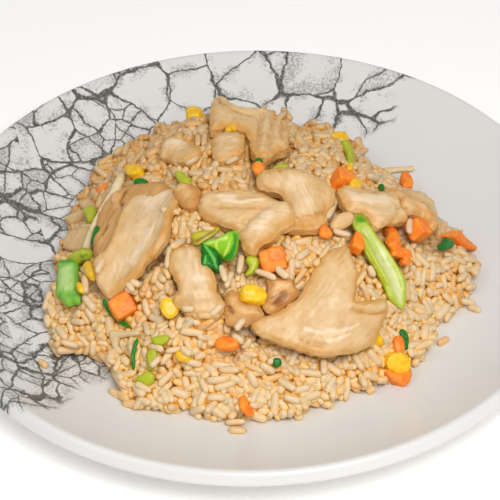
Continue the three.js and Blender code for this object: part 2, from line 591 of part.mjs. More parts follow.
// Stalk slices of the greens, cut herbs and a bean sprout: thin bars that follow the heap
const BAR = { rings: 6, sides: 5, square: 2.3, cap: 0.15, lumps: 0.03 };
const STALK_PIECES = {
  stalk_right_long: {
    ...BAR, seed: 21, rings: 8, sides: 6, cap: 0.06,
    stations: [[41, -18, 2.5, 2.6, 2.6, 3], [47, -26, 3, 3.3, 3.3, 4], [53.5, -36, 3, 3.6, 3.6, 4.5],
      [58, -46, 2.5, 3.2, 3.2, 4], [60.5, -53, 1, 2.4, 2.4, 3]],
  },
  stalk_left_broad: {
    ...BAR, seed: 22, sides: 6, cap: 0.08, roll: -25,
    stations: [[-74.5, -15, 1.5, 4.2, 4.2, 3.5], [-75, -24, 2.5, 4.6, 4.6, 4],
      [-74.5, -33, 2.5, 4.6, 4.6, 4], [-73, -42, 1.5, 4, 4, 3]],
  },
  stalk_left_arched: {
    ...BAR, seed: 23,
    stations: [[-77, -11, 1.5, 2, 2, 3], [-72, -10.5, 3, 2.2, 2.2, 3.5], [-66, -13.5, 3.5, 2, 2, 3.2],
      [-64, -18, 1.5, 1.6, 1.6, 2.5]],
  },
  stalk_back_bit: {
    ...BAR, seed: 24,
    stations: [[-30, 5, 1, 2.2, 2.2, 3], [-27.3, -1.4, 2.5, 2.4, 2.4, 4], [-24, -7, 1, 2, 2, 3]],
  },
  stalk_back_strip: {
    ...BAR, seed: 25,
    stations: [[40, 50, 1.5, 1.8, 1.8, 2.5], [42.5, 38, 2.5, 2.1, 2.1, 3], [42.5, 26, 2.5, 2, 2, 3],
      [41, 16, 1, 1.6, 1.6, 2.5]],
  },
  stalk_back_low: {
    ...BAR, seed: 32, rings: 5,
    stations: [[-24, 76, 1, 1.8, 1.8, 2.5], [-18, 72, 1.8, 2.2, 2.2, 3], [-14, 66, 1, 1.8, 1.8, 2.5]],
  },
  stalk_centre_back: {
    ...BAR, seed: 26, rings: 5,
    stations: [[6, 2.5, 1, 1.2, 1.2, 2], [12, 2.5, 2, 1.8, 1.8, 3], [18, 0.5, 1, 1.2, 1.2, 2]],
  },
  stalk_centre_front: {
    ...BAR, seed: 27, rings: 5,
    stations: [[1.5, -43.5, 1.5, 1.6, 1.6, 2.5], [-1.2, -47.5, 2.5, 2, 2, 3], [-3, -52, 1, 1.4, 1.4, 2.5]],
  },
  stalk_front_left: {
    ...BAR, seed: 28, rings: 5,
    stations: [[-45.5, -80, 1, 1.8, 1.8, 2.5], [-41.5, -79.5, 2, 2.2, 2.2, 3], [-37, -78, 1, 1.8, 1.8, 2.5]],
  },
  herb_left_winding: {
    ...BAR, seed: 29, sides: 4,
    stations: [[-60, -44, 1, 0.9, 0.9, 1.4], [-57.5, -48, 2, 1.3, 1.3, 1.6], [-53, -51.5, 1.6, 1, 1, 1.5],
      [-48.5, -56, 1, 0.8, 0.8, 1.3]],
  },
  herb_left_lower: {
    ...BAR, seed: 30, sides: 4,
    stations: [[-45.5, -63.5, 1, 0.8, 0.8, 1.3], [-47.5, -68.5, 2, 1.2, 1.2, 1.6],
      [-47.3, -74.5, 1, 0.8, 0.8, 1.3]],
  },
  sprout_strand: {
    ...BAR, seed: 31, rings: 10, cap: 0.06,
    stations: [[-54.5, 26, 1.5, 1.5, 1.5, 2.8], [-55.5, 17, 3, 1.6, 1.6, 3], [-57.5, 8, 3.5, 1.6, 1.6, 3],
      [-62.5, 1.5, 3, 1.6, 1.6, 3], [-67, -5, 2.5, 1.5, 1.5, 2.8], [-69, -12, 1, 1.3, 1.3, 2.4]],
  },
};

// Leaves of the greens
const LEAF_PIECES = {
  leaf_centre_light: {
    size: { length: 13, width: 8.5, thick: 1, wave: 0.7, curl: -1.2 },
    lie: { at: [-9, -36.5], turn: 35, tilt: -14, roll: 30, lift: 4.5 },
  },
  leaf_centre_dark: {
    size: { length: 12, width: 6.5, thick: 1, wave: 0.8, curl: -0.8 },
    lie: { at: [-16.5, -43.5], turn: -52, tilt: 8, roll: -15, lift: 4 },
  },
  leaf_centre_yellow: {
    size: { length: 11, width: 4.5, thick: 1, wave: 0.8, curl: -1 },
    lie: { at: [-19, -33.5], turn: 25, tilt: -5, roll: 15, lift: 2.5 },
  },
  leaf_back_dark: {
    size: { length: 6, width: 4, thick: 1, wave: 0.5, curl: -0.6 },
    lie: { at: [-45.8, 9.1], turn: -5, tilt: 0, roll: 30, lift: 2 },
  },
  leaf_right_dark: {
    size: { length: 6, width: 5, thick: 1, wave: 0.5, curl: -0.6 },
    lie: { at: [79.5, -11.9], turn: 30, tilt: 0, roll: 10, lift: 2 },
  },
};

// Small flakes of the same vegetables, joined to the rice that they lie on
const FLAKE_THICKNESS = 2.4;
const FLAKES = [
  { at: [2.5, 1], length: 4, width: 4, turn: 10 },
  { at: [57, -61.5], length: 3, width: 5.5, turn: 0 },
  { at: [65.8, -45.2], length: 7, width: 2.6, turn: -25 },
  { at: [41.1, 14.5], length: 5, width: 2.6, turn: -30 },
  { at: [64.8, -59.7], length: 5, width: 3, turn: 20 },
  { at: [-28.5, -74.8], length: 5, width: 3.5, turn: 40 },
  { at: [-68.2, 9.8], length: 5, width: 4.5, turn: 70 },
  { at: [-65, -7], length: 7, width: 1.8, turn: 75 },
  { at: [59.2, -60.9], length: 4, width: 2.4, turn: 60 },
  { at: [-36.2, -69.4], length: 5, width: 3.5, turn: -10 },
];

// Putting the serving together

const group = new THREE.Group();
const toppings = [];

function addMesh(name, geometry, finish) {
  const mesh = new THREE.Mesh(geometry, new THREE.MeshStandardMaterial(finish));
  mesh.name = name;
  group.add(mesh);
  return mesh;
}

// A topping is cut back from those already laid wherever it would touch them
function layTopping(name, geometry, finish) {
  let solid = toSolid(geometry);
  for (const neighbour of toppings) {
    if (solid.intersect(neighbour).volume() > 0) {
      solid = largestPiece(solid.subtract(neighbour));
    }
  }
  const shape = toGeometry(solid);
  toppings.push(toSolid(inflate(geometry, GAP + CORNER_ALLOWANCE)));
  addMesh(name, shape, finish);
}

addMesh('plate', plateGeometry(), CERAMIC);

for (const [name, { stations, flap, brown, ...shape }] of Object.entries(CHICKEN_PIECES)) {
  let slice = sliceGeometry(stations, shape);
  if (flap) {
    slice = toGeometry(toSolid(slice).add(toSolid(sliceGeometry(flap, BIT))));
  }
  layTopping(name, slice, brown ? BROWN_CHICKEN : CHICKEN);
}
for (const [name, { stations, ...shape }] of Object.entries(STALK_PIECES)) {
  const finish = name.startsWith('herb') ? LEAF : STALK;
  layTopping(name, sliceGeometry(stations, shape), name.startsWith('sprout') ? SPROUT : finish);
}
for (const [name, { size, lie }] of Object.entries(LEAF_PIECES)) {
  layTopping(name, bedded(leafGeometry(size), lie), name.endsWith('dark') ? LEAF : STALK);
}
CARROT_PIECES.forEach(({ size, taper, segments, ...lie }, index) => {
  const name = `carrot_${String(index + 1).padStart(2, '0')}`;
  layTopping(name, bedded(diceGeometry(size, { taper, segments }), lie), CARROT);
});
CORN_PIECES.forEach(({ size, segments, ...lie }, index) => {
  const name = `corn_${String(index + 1).padStart(2, '0')}`;
  layTopping(name, bedded(diceGeometry(size, { round: 0.3, taper: 0.25, segments }), lie), CORN);
});

let heap = toSolid(heapGeometry());
for (const { at, length, width, turn } of FLAKES) {
  const dice = diceGeometry([length, width, FLAKE_THICKNESS]);
  heap = heap.add(toSolid(bedded(dice, { at, turn, lift: FLAKE_THICKNESS / 3 })));
}
for (const topping of toppings) {
  heap = heap.subtract(topping);
}
addMesh('rice_heap', toGeometry(largestPiece(heap)), RICE);

export default group;
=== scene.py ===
# Looks of a plate of chicken fried rice: glazed plate, loose grains, sliced chicken and greens.
# Meshes are worked out in millimetres and scaled to metres as they are made.
import math

import bpy
import numpy as np
from mathutils import Matrix, Vector, noise
from mathutils.bvhtree import BVHTree


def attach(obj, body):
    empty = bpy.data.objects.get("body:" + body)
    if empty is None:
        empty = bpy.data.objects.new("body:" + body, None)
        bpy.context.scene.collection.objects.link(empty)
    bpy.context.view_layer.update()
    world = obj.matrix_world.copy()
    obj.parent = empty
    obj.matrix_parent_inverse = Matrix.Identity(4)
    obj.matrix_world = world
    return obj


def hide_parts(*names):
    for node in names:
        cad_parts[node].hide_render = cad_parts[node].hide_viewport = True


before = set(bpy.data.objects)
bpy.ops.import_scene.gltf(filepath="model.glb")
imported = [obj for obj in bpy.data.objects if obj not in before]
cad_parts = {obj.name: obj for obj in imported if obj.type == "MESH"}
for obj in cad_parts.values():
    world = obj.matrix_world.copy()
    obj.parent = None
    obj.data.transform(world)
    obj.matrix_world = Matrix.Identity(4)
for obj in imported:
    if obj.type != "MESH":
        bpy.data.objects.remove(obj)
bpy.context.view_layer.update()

MM = 0.001
TOPPINGS = sorted(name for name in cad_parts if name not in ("plate", "rice_heap"))


# Camera, at the photograph's angle

CAMERA_ELEVATION = math.radians(41.389)
CAMERA_ROLL = math.radians(-1.103)
CAMERA_DISTANCE = 0.8
CAMERA_TARGET = Vector((-0.000993, 0.000858, 0.015))
SENSOR_WIDTH = 36
FOCAL_PIXELS = 1897.28
PHOTO_WIDTH = 500


def make_camera():
    data = bpy.data.cameras.new("camera")
    data.sensor_width = SENSOR_WIDTH
    data.lens = SENSOR_WIDTH * FOCAL_PIXELS / PHOTO_WIDTH
    camera = bpy.data.objects.new("camera", data)
    bpy.context.scene.collection.objects.link(camera)
    back = Vector((0, -math.cos(CAMERA_ELEVATION), math.sin(CAMERA_ELEVATION)))
    right = Vector((1, 0, 0))
    up = back.cross(right)
    turned_right = right * math.cos(CAMERA_ROLL) + up * math.sin(CAMERA_ROLL)
    turned_up = up * math.cos(CAMERA_ROLL) - right * math.sin(CAMERA_ROLL)
    matrix = Matrix((turned_right, turned_up, back)).transposed().to_4x4()
    matrix.translation = CAMERA_TARGET + back * CAMERA_DISTANCE
    camera.matrix_world = matrix
    bpy.context.scene.camera = camera


# Meshes and objects

def make_object(name, points_mm, faces, material, smooth=True):
    mesh = bpy.data.meshes.new(name)
    mesh.from_pydata(np.asarray(points_mm) * MM, [], faces)
    mesh.materials.append(material)
    mesh.polygons.foreach_set("use_smooth", np.full(len(mesh.polygons), smooth))
    mesh.update()
    piece = bpy.data.objects.new(name, mesh)
    bpy.context.scene.collection.objects.link(piece)
    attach(piece, "root")
    return piece


def set_shading(piece, fibre, edge, tone):
    set_attribute(piece.data, "fibre", fibre, "FLOAT_VECTOR")
    set_attribute(piece.data, "edge", edge)
    set_attribute(piece.data, "tone", tone)


def node_mesh(name):
    """Corner points in mm and triangles of a CAD node, with doubled points joined."""
    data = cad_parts[name].data
    points = np.empty(len(data.vertices) * 3)
    data.vertices.foreach_get("co", points)
    points = np.round(points.reshape(-1, 3) / MM, 4)
    shared, index = np.unique(points, axis=0, return_inverse=True)
    index = index.ravel()
    triangles = [tuple(index[v] for v in face.vertices) for face in data.polygons]
    return shared, [t for t in triangles if len(set(t)) == len(t)]


def tree_of(names):
    points = []
    triangles = []
    for name in names:
        own_points, own_triangles = node_mesh(name)
        triangles += [tuple(v + len(points) for v in t) for t in own_triangles]
        points += own_points.tolist()
    return BVHTree.FromPolygons(points, triangles)


def tree_of_pieces(pieces, shrink=None):
    """One tree of all the pieces; those named in shrink are drawn in and shifted in Y."""
    points = []
    faces = []
    for piece in pieces:
        start = len(points)
        faces += [tuple(v + start for v in face.vertices) for face in piece.data.polygons]
        own = read_points(piece.data, "co") / MM
        share, shift = (shrink or {}).get(piece.name, (1.0, 0.0))
        points += (own.mean(axis=0) + share * (own - own.mean(axis=0)) + (0, shift, 0)).tolist()
    return BVHTree.FromPolygons(points, faces)


def set_attribute(mesh, name, values, kind="FLOAT"):
    layer = mesh.attributes.new(name, kind, "POINT")
    key = "vector" if kind == "FLOAT_VECTOR" else "value"
    layer.data.foreach_set(key, np.asarray(values, np.float32).ravel())


# Height maps, one value for each cell of a square grid seen from above

CELL = 0.5
GRID_REACH = 106.0
GRID = np.arange(-GRID_REACH, GRID_REACH + CELL / 2, CELL)
RAY_TOP = 200.0
NOTHING = -50.0


def cast_down(tree):
    heights = np.full((len(GRID), len(GRID)), NOTHING)
    down = Vector((0, 0, -1))
    for row, y in enumerate(GRID):
        for column, x in enumerate(GRID):
            hit = tree.ray_cast(Vector((x, y, RAY_TOP)), down)[0]
            if hit is not None:
                heights[row, column] = hit.z
    return heights


def blur(field, sigma_mm):
    rows = np.fft.fftfreq(field.shape[0], CELL)[:, None]
    columns = np.fft.rfftfreq(field.shape[1], CELL)[None, :]
    pass_low = np.exp(-2 * (math.pi * sigma_mm) ** 2 * (rows**2 + columns**2))
    return np.fft.irfft2(np.fft.rfft2(field) * pass_low, field.shape)


def fill_and_smooth(heights, known):
    """Smooth heights, with the unknown cells filled from what lies around them."""
    result = np.zeros_like(heights)
    weight_left = np.ones_like(heights)
    for sigma in (2.5, 6.0, 14.0):
        weight = blur(known.astype(float), sigma)
        level = blur(np.where(known, heights, 0.0), sigma) / np.maximum(weight, 1e-3)
        share = weight_left * np.clip(weight * 1.6, 0, 1) ** 2
        result += share * level
        weight_left -= share
        last = level
    return result + weight_left * last


def sample(field, x, y):
    column = np.clip((np.asarray(x) + GRID_REACH) / CELL, 0, len(GRID) - 1.001)
    row = np.clip((np.asarray(y) + GRID_REACH) / CELL, 0, len(GRID) - 1.001)
    c, r = column.astype(int), row.astype(int)
    u, v = column - c, row - r
    low = field[r, c] * (1 - u) + field[r, c + 1] * u
    high = field[r + 1, c] * (1 - u) + field[r + 1, c + 1] * u
    return low * (1 - v) + high * v


# Plate sizes, the same as the solid's

FLOOR_Z = 8.0
WELL_RADIUS = 86.0
CREST_RADIUS = 131.5
CREST_Z = 24.0
WALL_POWER = 1.8
LIP_RADIUS = 135.0
LIP_Z = 19.5
LIP_ROUND = 1.6
PLATE_THICKNESS = 5.0
FOOT_INNER_RADIUS = 69.0
FOOT_OUTER_RADIUS = 75.0
FOOT_FLARE = 2.5
RECESS_Z = 3.0
PLATE_SEGMENTS = 256
PROFILE_STEP = 1.6


def plate_top(radius):
    rise = np.maximum(0, (np.asarray(radius) - WELL_RADIUS) / (CREST_RADIUS - WELL_RADIUS))
    return FLOOR_Z + (CREST_Z - FLOOR_Z) * rise**WALL_POWER


GRID_X, GRID_Y = np.meshgrid(GRID, GRID)
PLATE_HEIGHT = plate_top(np.hypot(GRID_X, GRID_Y))


# Shader building

def new_material(name, **sockets):
    material = bpy.data.materials.new(name)
    material.use_nodes = True
    tree = material.node_tree
    shader = tree.nodes["Principled BSDF"]
    feed(tree, shader, sockets)
    return material, tree, shader


def feed(tree, node, sockets):
    for key, value in sockets.items():
        socket = node.inputs[int(key[1:])] if key[0] == "_" else node.inputs[key.replace("_", " ")]
        if isinstance(value, bpy.types.NodeSocket):
            tree.links.new(value, socket)
        else:
            socket.default_value = value


def add(tree, kind, settings=None, **sockets):
    node = tree.nodes.new("ShaderNode" + kind)
    for key, value in (settings or {}).items():
        setattr(node, key, value)
    feed(tree, node, sockets)
    return node


def maths(tree, operation, a, b=0.0, clamp=False):
    node = add(tree, "Math", {"operation": operation, "use_clamp": clamp}, _0=a, _1=b)
    return node.outputs[0]


def remap(tree, value, low, high, to_low=0.0, to_high=1.0):
    settings = {"interpolation_type": "SMOOTHSTEP"}
    node = add(tree, "MapRange", settings, Value=value, From_Min=low, From_Max=high,
               To_Min=to_low, To_Max=to_high)
    return node.outputs[0]


def mix(tree, factor, a, b, blend="MIX"):
    node = add(tree, "Mix", {"data_type": "RGBA", "blend_type": blend}, _0=factor, _6=a, _7=b)
    return node.outputs[2]


def place_mm(tree):
    coordinates = add(tree, "TexCoord").outputs["Object"]
    return add(tree, "Mapping", Vector=coordinates, Scale=[1 / MM] * 3).outputs[0]


def noise_of(tree, vector, scale, detail=2.0, roughness=0.5):
    node = add(tree, "TexNoise", Vector=vector, Scale=scale, Detail=detail, Roughness=roughness)
    return node.outputs["Fac"]


def bump(tree, shader, height, distance_mm, strength=1.0):
    node = add(tree, "Bump", Height=height, Distance=distance_mm * MM, Strength=strength)
    tree.links.new(node.outputs[0], shader.inputs["Normal"])
    return node


def linear(red, green, blue):
    """A colour read off as 0 to 255, as a shader wants it."""
    channels = [c / 255 for c in (red, green, blue)]
    lit = [c / 12.92 if c <= 0.04045 else ((c + 0.055) / 1.055) ** 2.4 for c in channels]
    return (*lit, 1.0)


def blend(tree, factor, colours):
    first, second = (linear(*colour) for colour in colours)
    return mix(tree, factor, first, second)


def tint(tree, colour, by):
    return mix(tree, 1.0, colour, linear(*by), "MULTIPLY")


# Plate: white glaze with a crackled half, and a bare foot ring

CRACKLE_EDGE_POINT = (78.0, 115.0)
CRACKLE_EDGE_NORMAL = (-0.796, 0.606)
CRACKLE_RING = 95.0
LARGE_NET = {"scale": 0.054, "width": 0.052, "stretch": (1.25, 0.85, 1), "offset": (3.1, 0.7, 0)}
SMALL_NET = {"scale": 0.078, "width": 0.072, "stretch": (0.95, 1.2, 1), "offset": (7.4, 2.2, 0)}
SPLIT_SHARE = 0.34
SPLIT_MORE_LEFTWARD = -0.005
SPLIT_MORE_BACKWARD = 0.3
GLAZE_WHITES = ((214, 213, 210), (221, 220, 218))
GLAZE_INKS = ((46, 45, 41), (100, 99, 92))
BARE_CLAYS = ((196, 184, 166), (226, 217, 202))


def crackle(tree, split, flat):
    """Share of dark ink: a net of veins whose cells run outwards, smoky beside some of them."""
    px, py = CRACKLE_EDGE_POINT
    nx, ny = CRACKLE_EDGE_NORMAL
    x, y = split.outputs[0], split.outputs[1]
    ahead = maths(tree, "ADD", maths(tree, "MULTIPLY", x, nx), maths(tree, "MULTIPLY", y, ny))
    aside = maths(tree, "SUBTRACT", maths(tree, "MULTIPLY", x, -ny), maths(tree, "MULTIPLY", y, -nx))
    around = maths(tree, "MULTIPLY", maths(tree, "ARCTAN2", aside, ahead), CRACKLE_RING)
    outward = add(tree, "VectorMath", {"operation": "LENGTH"}, _0=flat).outputs["Value"]
    polar = add(tree, "CombineXYZ", X=around, Y=outward).outputs[0]

    def bent_by(vector, scale, push):
        warp = add(tree, "TexNoise", Vector=vector, Scale=scale, Detail=2.0).outputs["Color"]
        centred = add(tree, "VectorMath", {"operation": "SUBTRACT"}, _0=warp, _1=(0.5, 0.5, 0.5))
        pushed = add(tree, "VectorMath", {"operation": "SCALE"}, _0=centred.outputs[0], Scale=push)
        return add(tree, "VectorMath", {"operation": "ADD"}, _0=vector, _1=pushed.outputs[0]).outputs[0]

    bent = bent_by(bent_by(polar, 0.05, 10.0), 0.5, 1.3)
    fray = maths(tree, "SUBTRACT", noise_of(tree, flat, 1.1, 4.0, 0.7), 0.5)

    def net(scale, width, stretch, offset):
        cells = add(tree, "Mapping", Vector=bent, Scale=stretch, Location=offset).outputs[0]
        edge = add(tree, "TexVoronoi", {"feature": "DISTANCE_TO_EDGE"}, Vector=cells, Scale=scale)
        own = add(tree, "TexVoronoi", {"feature": "F1"}, Vector=cells, Scale=scale)
        random = add(tree, "SeparateXYZ", Vector=own.outputs["Color"])
        corner = remap(tree, own.outputs["Distance"], 0.6, 0.9)
        swell = remap(tree, noise_of(tree, flat, 0.05, 1.0), 0.42, 0.62, 0.15, 0.75)
        swollen = maths(tree, "ADD", maths(tree, "MULTIPLY", corner, swell), 0.4)
        reach = maths(tree, "MULTIPLY", swollen, width)
        ragged = maths(tree, "ADD", edge.outputs["Distance"], maths(tree, "MULTIPLY", fray, width * 0.6))
        line = maths(tree, "SUBTRACT", 1.35, maths(tree, "DIVIDE", ragged, reach), True)
        return remap(tree, line, 0.0, 0.9), edge.outputs["Distance"], own.outputs["Distance"], random

    large, large_edge, large_middle, large_random = net(**LARGE_NET)
    small, small_edge, small_middle, small_random = net(**SMALL_NET)
    aslant = maths(tree, "ADD", x, maths(tree, "MULTIPLY", y, SPLIT_MORE_BACKWARD))
    share = maths(tree, "ADD", maths(tree, "MULTIPLY", aslant, SPLIT_MORE_LEFTWARD), SPLIT_SHARE)
    split_cells = maths(tree, "LESS_THAN", large_random.outputs[0], share)
    small = maths(tree, "MULTIPLY", small, split_cells)
    lines = maths(tree, "MAXIMUM", large, small)

    specks = noise_of(tree, flat, 0.8, 5.0, 0.75)
    drift = noise_of(tree, flat, 0.11, 2.0)
    along_large = remap(tree, large_edge, 0.0, 0.34, 1.0, 0.0)
    along_small = remap(tree, small_edge, 0.0, 0.4, 1.0, 0.0)
    beside = maths(tree, "MULTIPLY", along_large, remap(tree, drift, 0.4, 0.56))
    beside_small = maths(tree, "MULTIPLY", maths(tree, "MULTIPLY", along_small, split_cells), 0.85)
    filled = remap(tree, maths(tree, "ADD", large_random.outputs[1], drift), 1.05, 1.4)
    filled = maths(tree, "MULTIPLY", filled, remap(tree, large_middle, 0.05, 0.6, 0.35, 1.0))
    chosen = maths(tree, "GREATER_THAN", small_random.outputs[1], 0.8)
    filled_small = maths(tree, "MULTIPLY", chosen, split_cells)
    filled_small = maths(tree, "MULTIPLY", filled_small, remap(tree, small_middle, 0.05, 0.6, 0.3, 1.0))
    smoke = maths(tree, "MAXIMUM", maths(tree, "MAXIMUM", beside, beside_small),
                  maths(tree, "MAXIMUM", filled, filled_small))
    clear = maths(tree, "SUBTRACT", 1.0, smoke)
    level = maths(tree, "SUBTRACT", specks, maths(tree, "MULTIPLY", clear, 0.3))
    haze = maths(tree, "MULTIPLY", remap(tree, level, 0.36, 0.6), 0.6)
    worn = remap(tree, specks, 0.3, 0.55, 0.62, 1.0)
    dark = maths(tree, "MAXIMUM", maths(tree, "MULTIPLY", lines, worn), haze)

    inside = maths(tree, "SUBTRACT", ahead, px * nx + py * ny)
    wavy = maths(tree, "MULTIPLY", maths(tree, "SUBTRACT", noise_of(tree, flat, 0.05), 0.5), 24.0)
    dark = maths(tree, "MULTIPLY", dark, remap(tree, maths(tree, "ADD", inside, wavy), -3.0, 3.0))
    facing = add(tree, "SeparateXYZ", Vector=add(tree, "NewGeometry").outputs["Normal"]).outputs[2]
    return maths(tree, "MULTIPLY", dark, remap(tree, facing, -0.5, 0.0))


def glaze_material():
    material, tree, shader = new_material("glaze", Roughness=0.3, Coat_Weight=0.15,
                                          Coat_Roughness=0.1, IOR=1.45)
    place = place_mm(tree)
    split = add(tree, "SeparateXYZ", Vector=place)
    flat = add(tree, "CombineXYZ", X=split.outputs[0], Y=split.outputs[1]).outputs[0]
    dark = crackle(tree, split, flat)
    drift = noise_of(tree, flat, 0.02, 2.0)
    white = blend(tree, drift, GLAZE_WHITES)
    ink = blend(tree, noise_of(tree, flat, 0.5, 3.0), GLAZE_INKS)
    glazed = mix(tree, dark, white, ink)
    clay_share = remap(tree, split.outputs[2], 0.25, 0.6, 1.0, 0.0)
    clay = blend(tree, noise_of(tree, place, 0.8, 5.0), BARE_CLAYS)
    tree.links.new(mix(tree, clay_share, glazed, clay), shader.inputs["Base Color"])
    gloss = maths(tree, "ADD", maths(tree, "MULTIPLY", clay_share, 0.5), 0.3)
    tree.links.new(gloss, shader.inputs["Roughness"])
    waves = noise_of(tree, place, 0.06, 2.0)
    sunk = maths(tree, "SUBTRACT", waves, maths(tree, "MULTIPLY", dark, 0.03))
    bump(tree, shader, sunk, 0.4, 0.25)
    return material


def plate_profile():
    """(radius, height) from the middle of the well, over the lip, to the middle underneath."""
    def stretch(start, end):
        steps = max(2, round(abs(end - start) / PROFILE_STEP))
        return np.linspace(start, end, steps, endpoint=False)

    top = [(r, float(plate_top(r))) for r in stretch(2.0, CREST_RADIUS)]
    lip = [(CREST_RADIUS, CREST_Z), (CREST_RADIUS + 0.9, CREST_Z - 0.05),
           (CREST_RADIUS + LIP_ROUND, CREST_Z - LIP_ROUND / 4),
           (CREST_RADIUS + 2.6, CREST_Z - 1.4), (LIP_RADIUS - LIP_ROUND / 4, LIP_Z + LIP_ROUND),
           (LIP_RADIUS - 0.05, LIP_Z + 0.6), (LIP_RADIUS, LIP_Z),
           (LIP_RADIUS - 0.4, LIP_Z - 0.9), (LIP_RADIUS - LIP_ROUND * 0.75, LIP_Z - LIP_ROUND),
           (CREST_RADIUS, LIP_Z - LIP_ROUND * 1.1)]
    under = [(r, float(plate_top(r)) - PLATE_THICKNESS)
             for r in stretch(CREST_RADIUS - LIP_ROUND, WELL_RADIUS)]
    under[0] = (CREST_RADIUS - LIP_ROUND, LIP_Z - LIP_ROUND)
    foot = [(FOOT_OUTER_RADIUS + FOOT_FLARE + 3, RECESS_Z), (FOOT_OUTER_RADIUS + FOOT_FLARE, RECESS_Z),
            (FOOT_OUTER_RADIUS + 0.5, 0.6), (FOOT_OUTER_RADIUS - 0.2, 0.0),
            (FOOT_INNER_RADIUS + 0.2, 0.0), (FOOT_INNER_RADIUS - 0.5, 0.6),
            (FOOT_INNER_RADIUS - FOOT_FLARE, RECESS_Z), (FOOT_INNER_RADIUS - FOOT_FLARE - 3, RECESS_Z),
            (30.0, RECESS_Z)]
    return top + lip + under + foot


def make_plate(material):
    profile = plate_profile()
    angles = np.linspace(0, 2 * math.pi, PLATE_SEGMENTS, endpoint=False)
    points = [(r * math.cos(a), r * math.sin(a), z) for r, z in profile for a in angles]
    faces = []
    n = PLATE_SEGMENTS
    for ring in range(len(profile) - 1):
        for k in range(n):
            a, b = ring * n + k, ring * n + (k + 1) % n
            faces.append((a, a + n, b + n, b))
    top, bottom = len(points), len(points) + 1
    points += [(0, 0, FLOOR_Z), (0, 0, RECESS_Z)]
    last = (len(profile) - 1) * n
    for k in range(n):
        faces.append((top, k, (k + 1) % n))
        faces.append((bottom, last + (k + 1) % n, last + k))
    plate = make_object("plate_glazed", points, faces, material)
    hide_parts("plate")


# Rice material: translucent boiled grains, each with its own tone

# Painted shade in the crevices between grains, found by occlusion: warm darker colours, lighter in patches,
# deepest amber in the most closed gaps
GAP_REACH = 3.2
PAINTED_CREVICE_SHADE_COLOURS = ((255, 206, 100), (255, 222, 138))
DEEP_PAINTED_CREVICE_SHADE = (255, 182, 50)
PAINTED_CREVICE_SHADE_SHARE = 0.8
# Painted light: open crests are tinted cooler and a little darker
CREST_PAINTED_LIGHT_TINT = (240, 245, 252)
# Painted shade: the rice darkens towards the back
FAR_PAINTED_SHADE_TINT = (236, 235, 232)
GRAIN_ROUNDING = 0.9
# Painted shade: the core under the grains is a darker amber than the grains
CORE_PAINTED_SHADE_COLOURS = ((238, 156, 60), (246, 176, 82))


def rice_material(name, colours):
    material, tree, shader = new_material(
        name, Roughness=0.45, Subsurface_Weight=0.4, Subsurface_Scale=0.002,
        Subsurface_Radius=(1.0, 0.85, 0.65), Coat_Weight=0.12, Coat_Roughness=0.25, IOR=1.4)
    tone = add(tree, "Attribute", {"attribute_name": "tone"}).outputs["Fac"]
    place = place_mm(tree)
    patch = maths(tree, "SUBTRACT", noise_of(tree, place, 0.35, 2.0), 0.5)
    spread = maths(tree, "ADD", tone, maths(tree, "MULTIPLY", patch, 0.5), True)
    open_air = add(tree, "AmbientOcclusion", {"samples": 8}, Distance=GAP_REACH * MM).outputs["AO"]
    toned = blend(tree, spread, colours)
    lighter_shade_patches = remap(tree, noise_of(tree, place, 0.11, 2.0), 0.42, 0.6)
    # Painted shade: closed-in points take the crevice colours, the most closed ones the deep amber
    gap = mix(tree, PAINTED_CREVICE_SHADE_SHARE, toned, blend(tree, lighter_shade_patches, PAINTED_CREVICE_SHADE_COLOURS))
    colour = mix(tree, remap(tree, open_air, 0.3, 0.75), gap, toned)
    colour = mix(tree, remap(tree, open_air, 0.05, 0.35), linear(*DEEP_PAINTED_CREVICE_SHADE), colour)
    # Painted light on the open crests
    colour = mix(tree, remap(tree, open_air, 0.7, 1.0), colour, tint(tree, colour, CREST_PAINTED_LIGHT_TINT))
    # Painted shade, darker towards the back
    far = remap(tree, add(tree, "SeparateXYZ", Vector=place).outputs[1], -70, 50)
    colour = mix(tree, far, colour, tint(tree, colour, FAR_PAINTED_SHADE_TINT))
    tree.links.new(colour, shader.inputs["Base Color"])
    skin = bump(tree, shader, noise_of(tree, place, 1.6, 3.0, 0.6), 0.12, 0.6)
    rounded = add(tree, "Bevel", {"samples": 4}, Radius=GRAIN_ROUNDING * MM)
    tree.links.new(rounded.outputs[0], skin.inputs["Normal"])
    return material


def core_material():
    material, tree, shader = new_material("rice_depth", Roughness=0.5, Subsurface_Weight=0.3,
                                          Subsurface_Scale=0.002, Subsurface_Radius=(1, 0.5, 0.25))
    place = place_mm(tree)
    shade = noise_of(tree, place, 0.5, 3.0)
    # Painted shade deep among the grains
    tree.links.new(blend(tree, shade, CORE_PAINTED_SHADE_COLOURS), shader.inputs["Base Color"])
    bump(tree, shader, shade, 0.5, 0.6)
    return material


# Heap surface, worked out from the solids

CORE_DEPTH = 6.5
CLUMP_HEIGHT = 3.0
CLUMP_RADIUS = 8.6
CLUMPS = 270
FREE_BLUR = 0.8
FREE_LIMIT = 0.12
OUTLINE_SEARCH_START = 60.0
CORE_SEARCH_START = 40.0
CLUMP_WARP = 2.5
CLUMP_WARP_REACH = 3.5
CORE_THINNING = 0.45
CORE_LUMP = 0.7
CORE_LUMP_SCALE = 0.45
CORE_ABOVE_PLATE = 0.25
CORE_FOOT_ABOVE_PLATE = 0.1
LOOSE_RIM = 3.5
LEAST_CORE = 1.2
CORE_RINGS = 46
CORE_SEGMENTS = 150
OUTLINE_SEGMENTS = 180
UNEVEN_HEIGHT = 0.6
UNEVEN_REACH = 2.6
LID_RISE = 0.5
TOPPING_SHOWS = 1.2
RIM_SHOWS = ((1.2, 0.9), (2.6, 0.3))
ROOF_REACH = 2.5
CORE_REACH = 0.96
OUTLINE_GIVE = 0.04

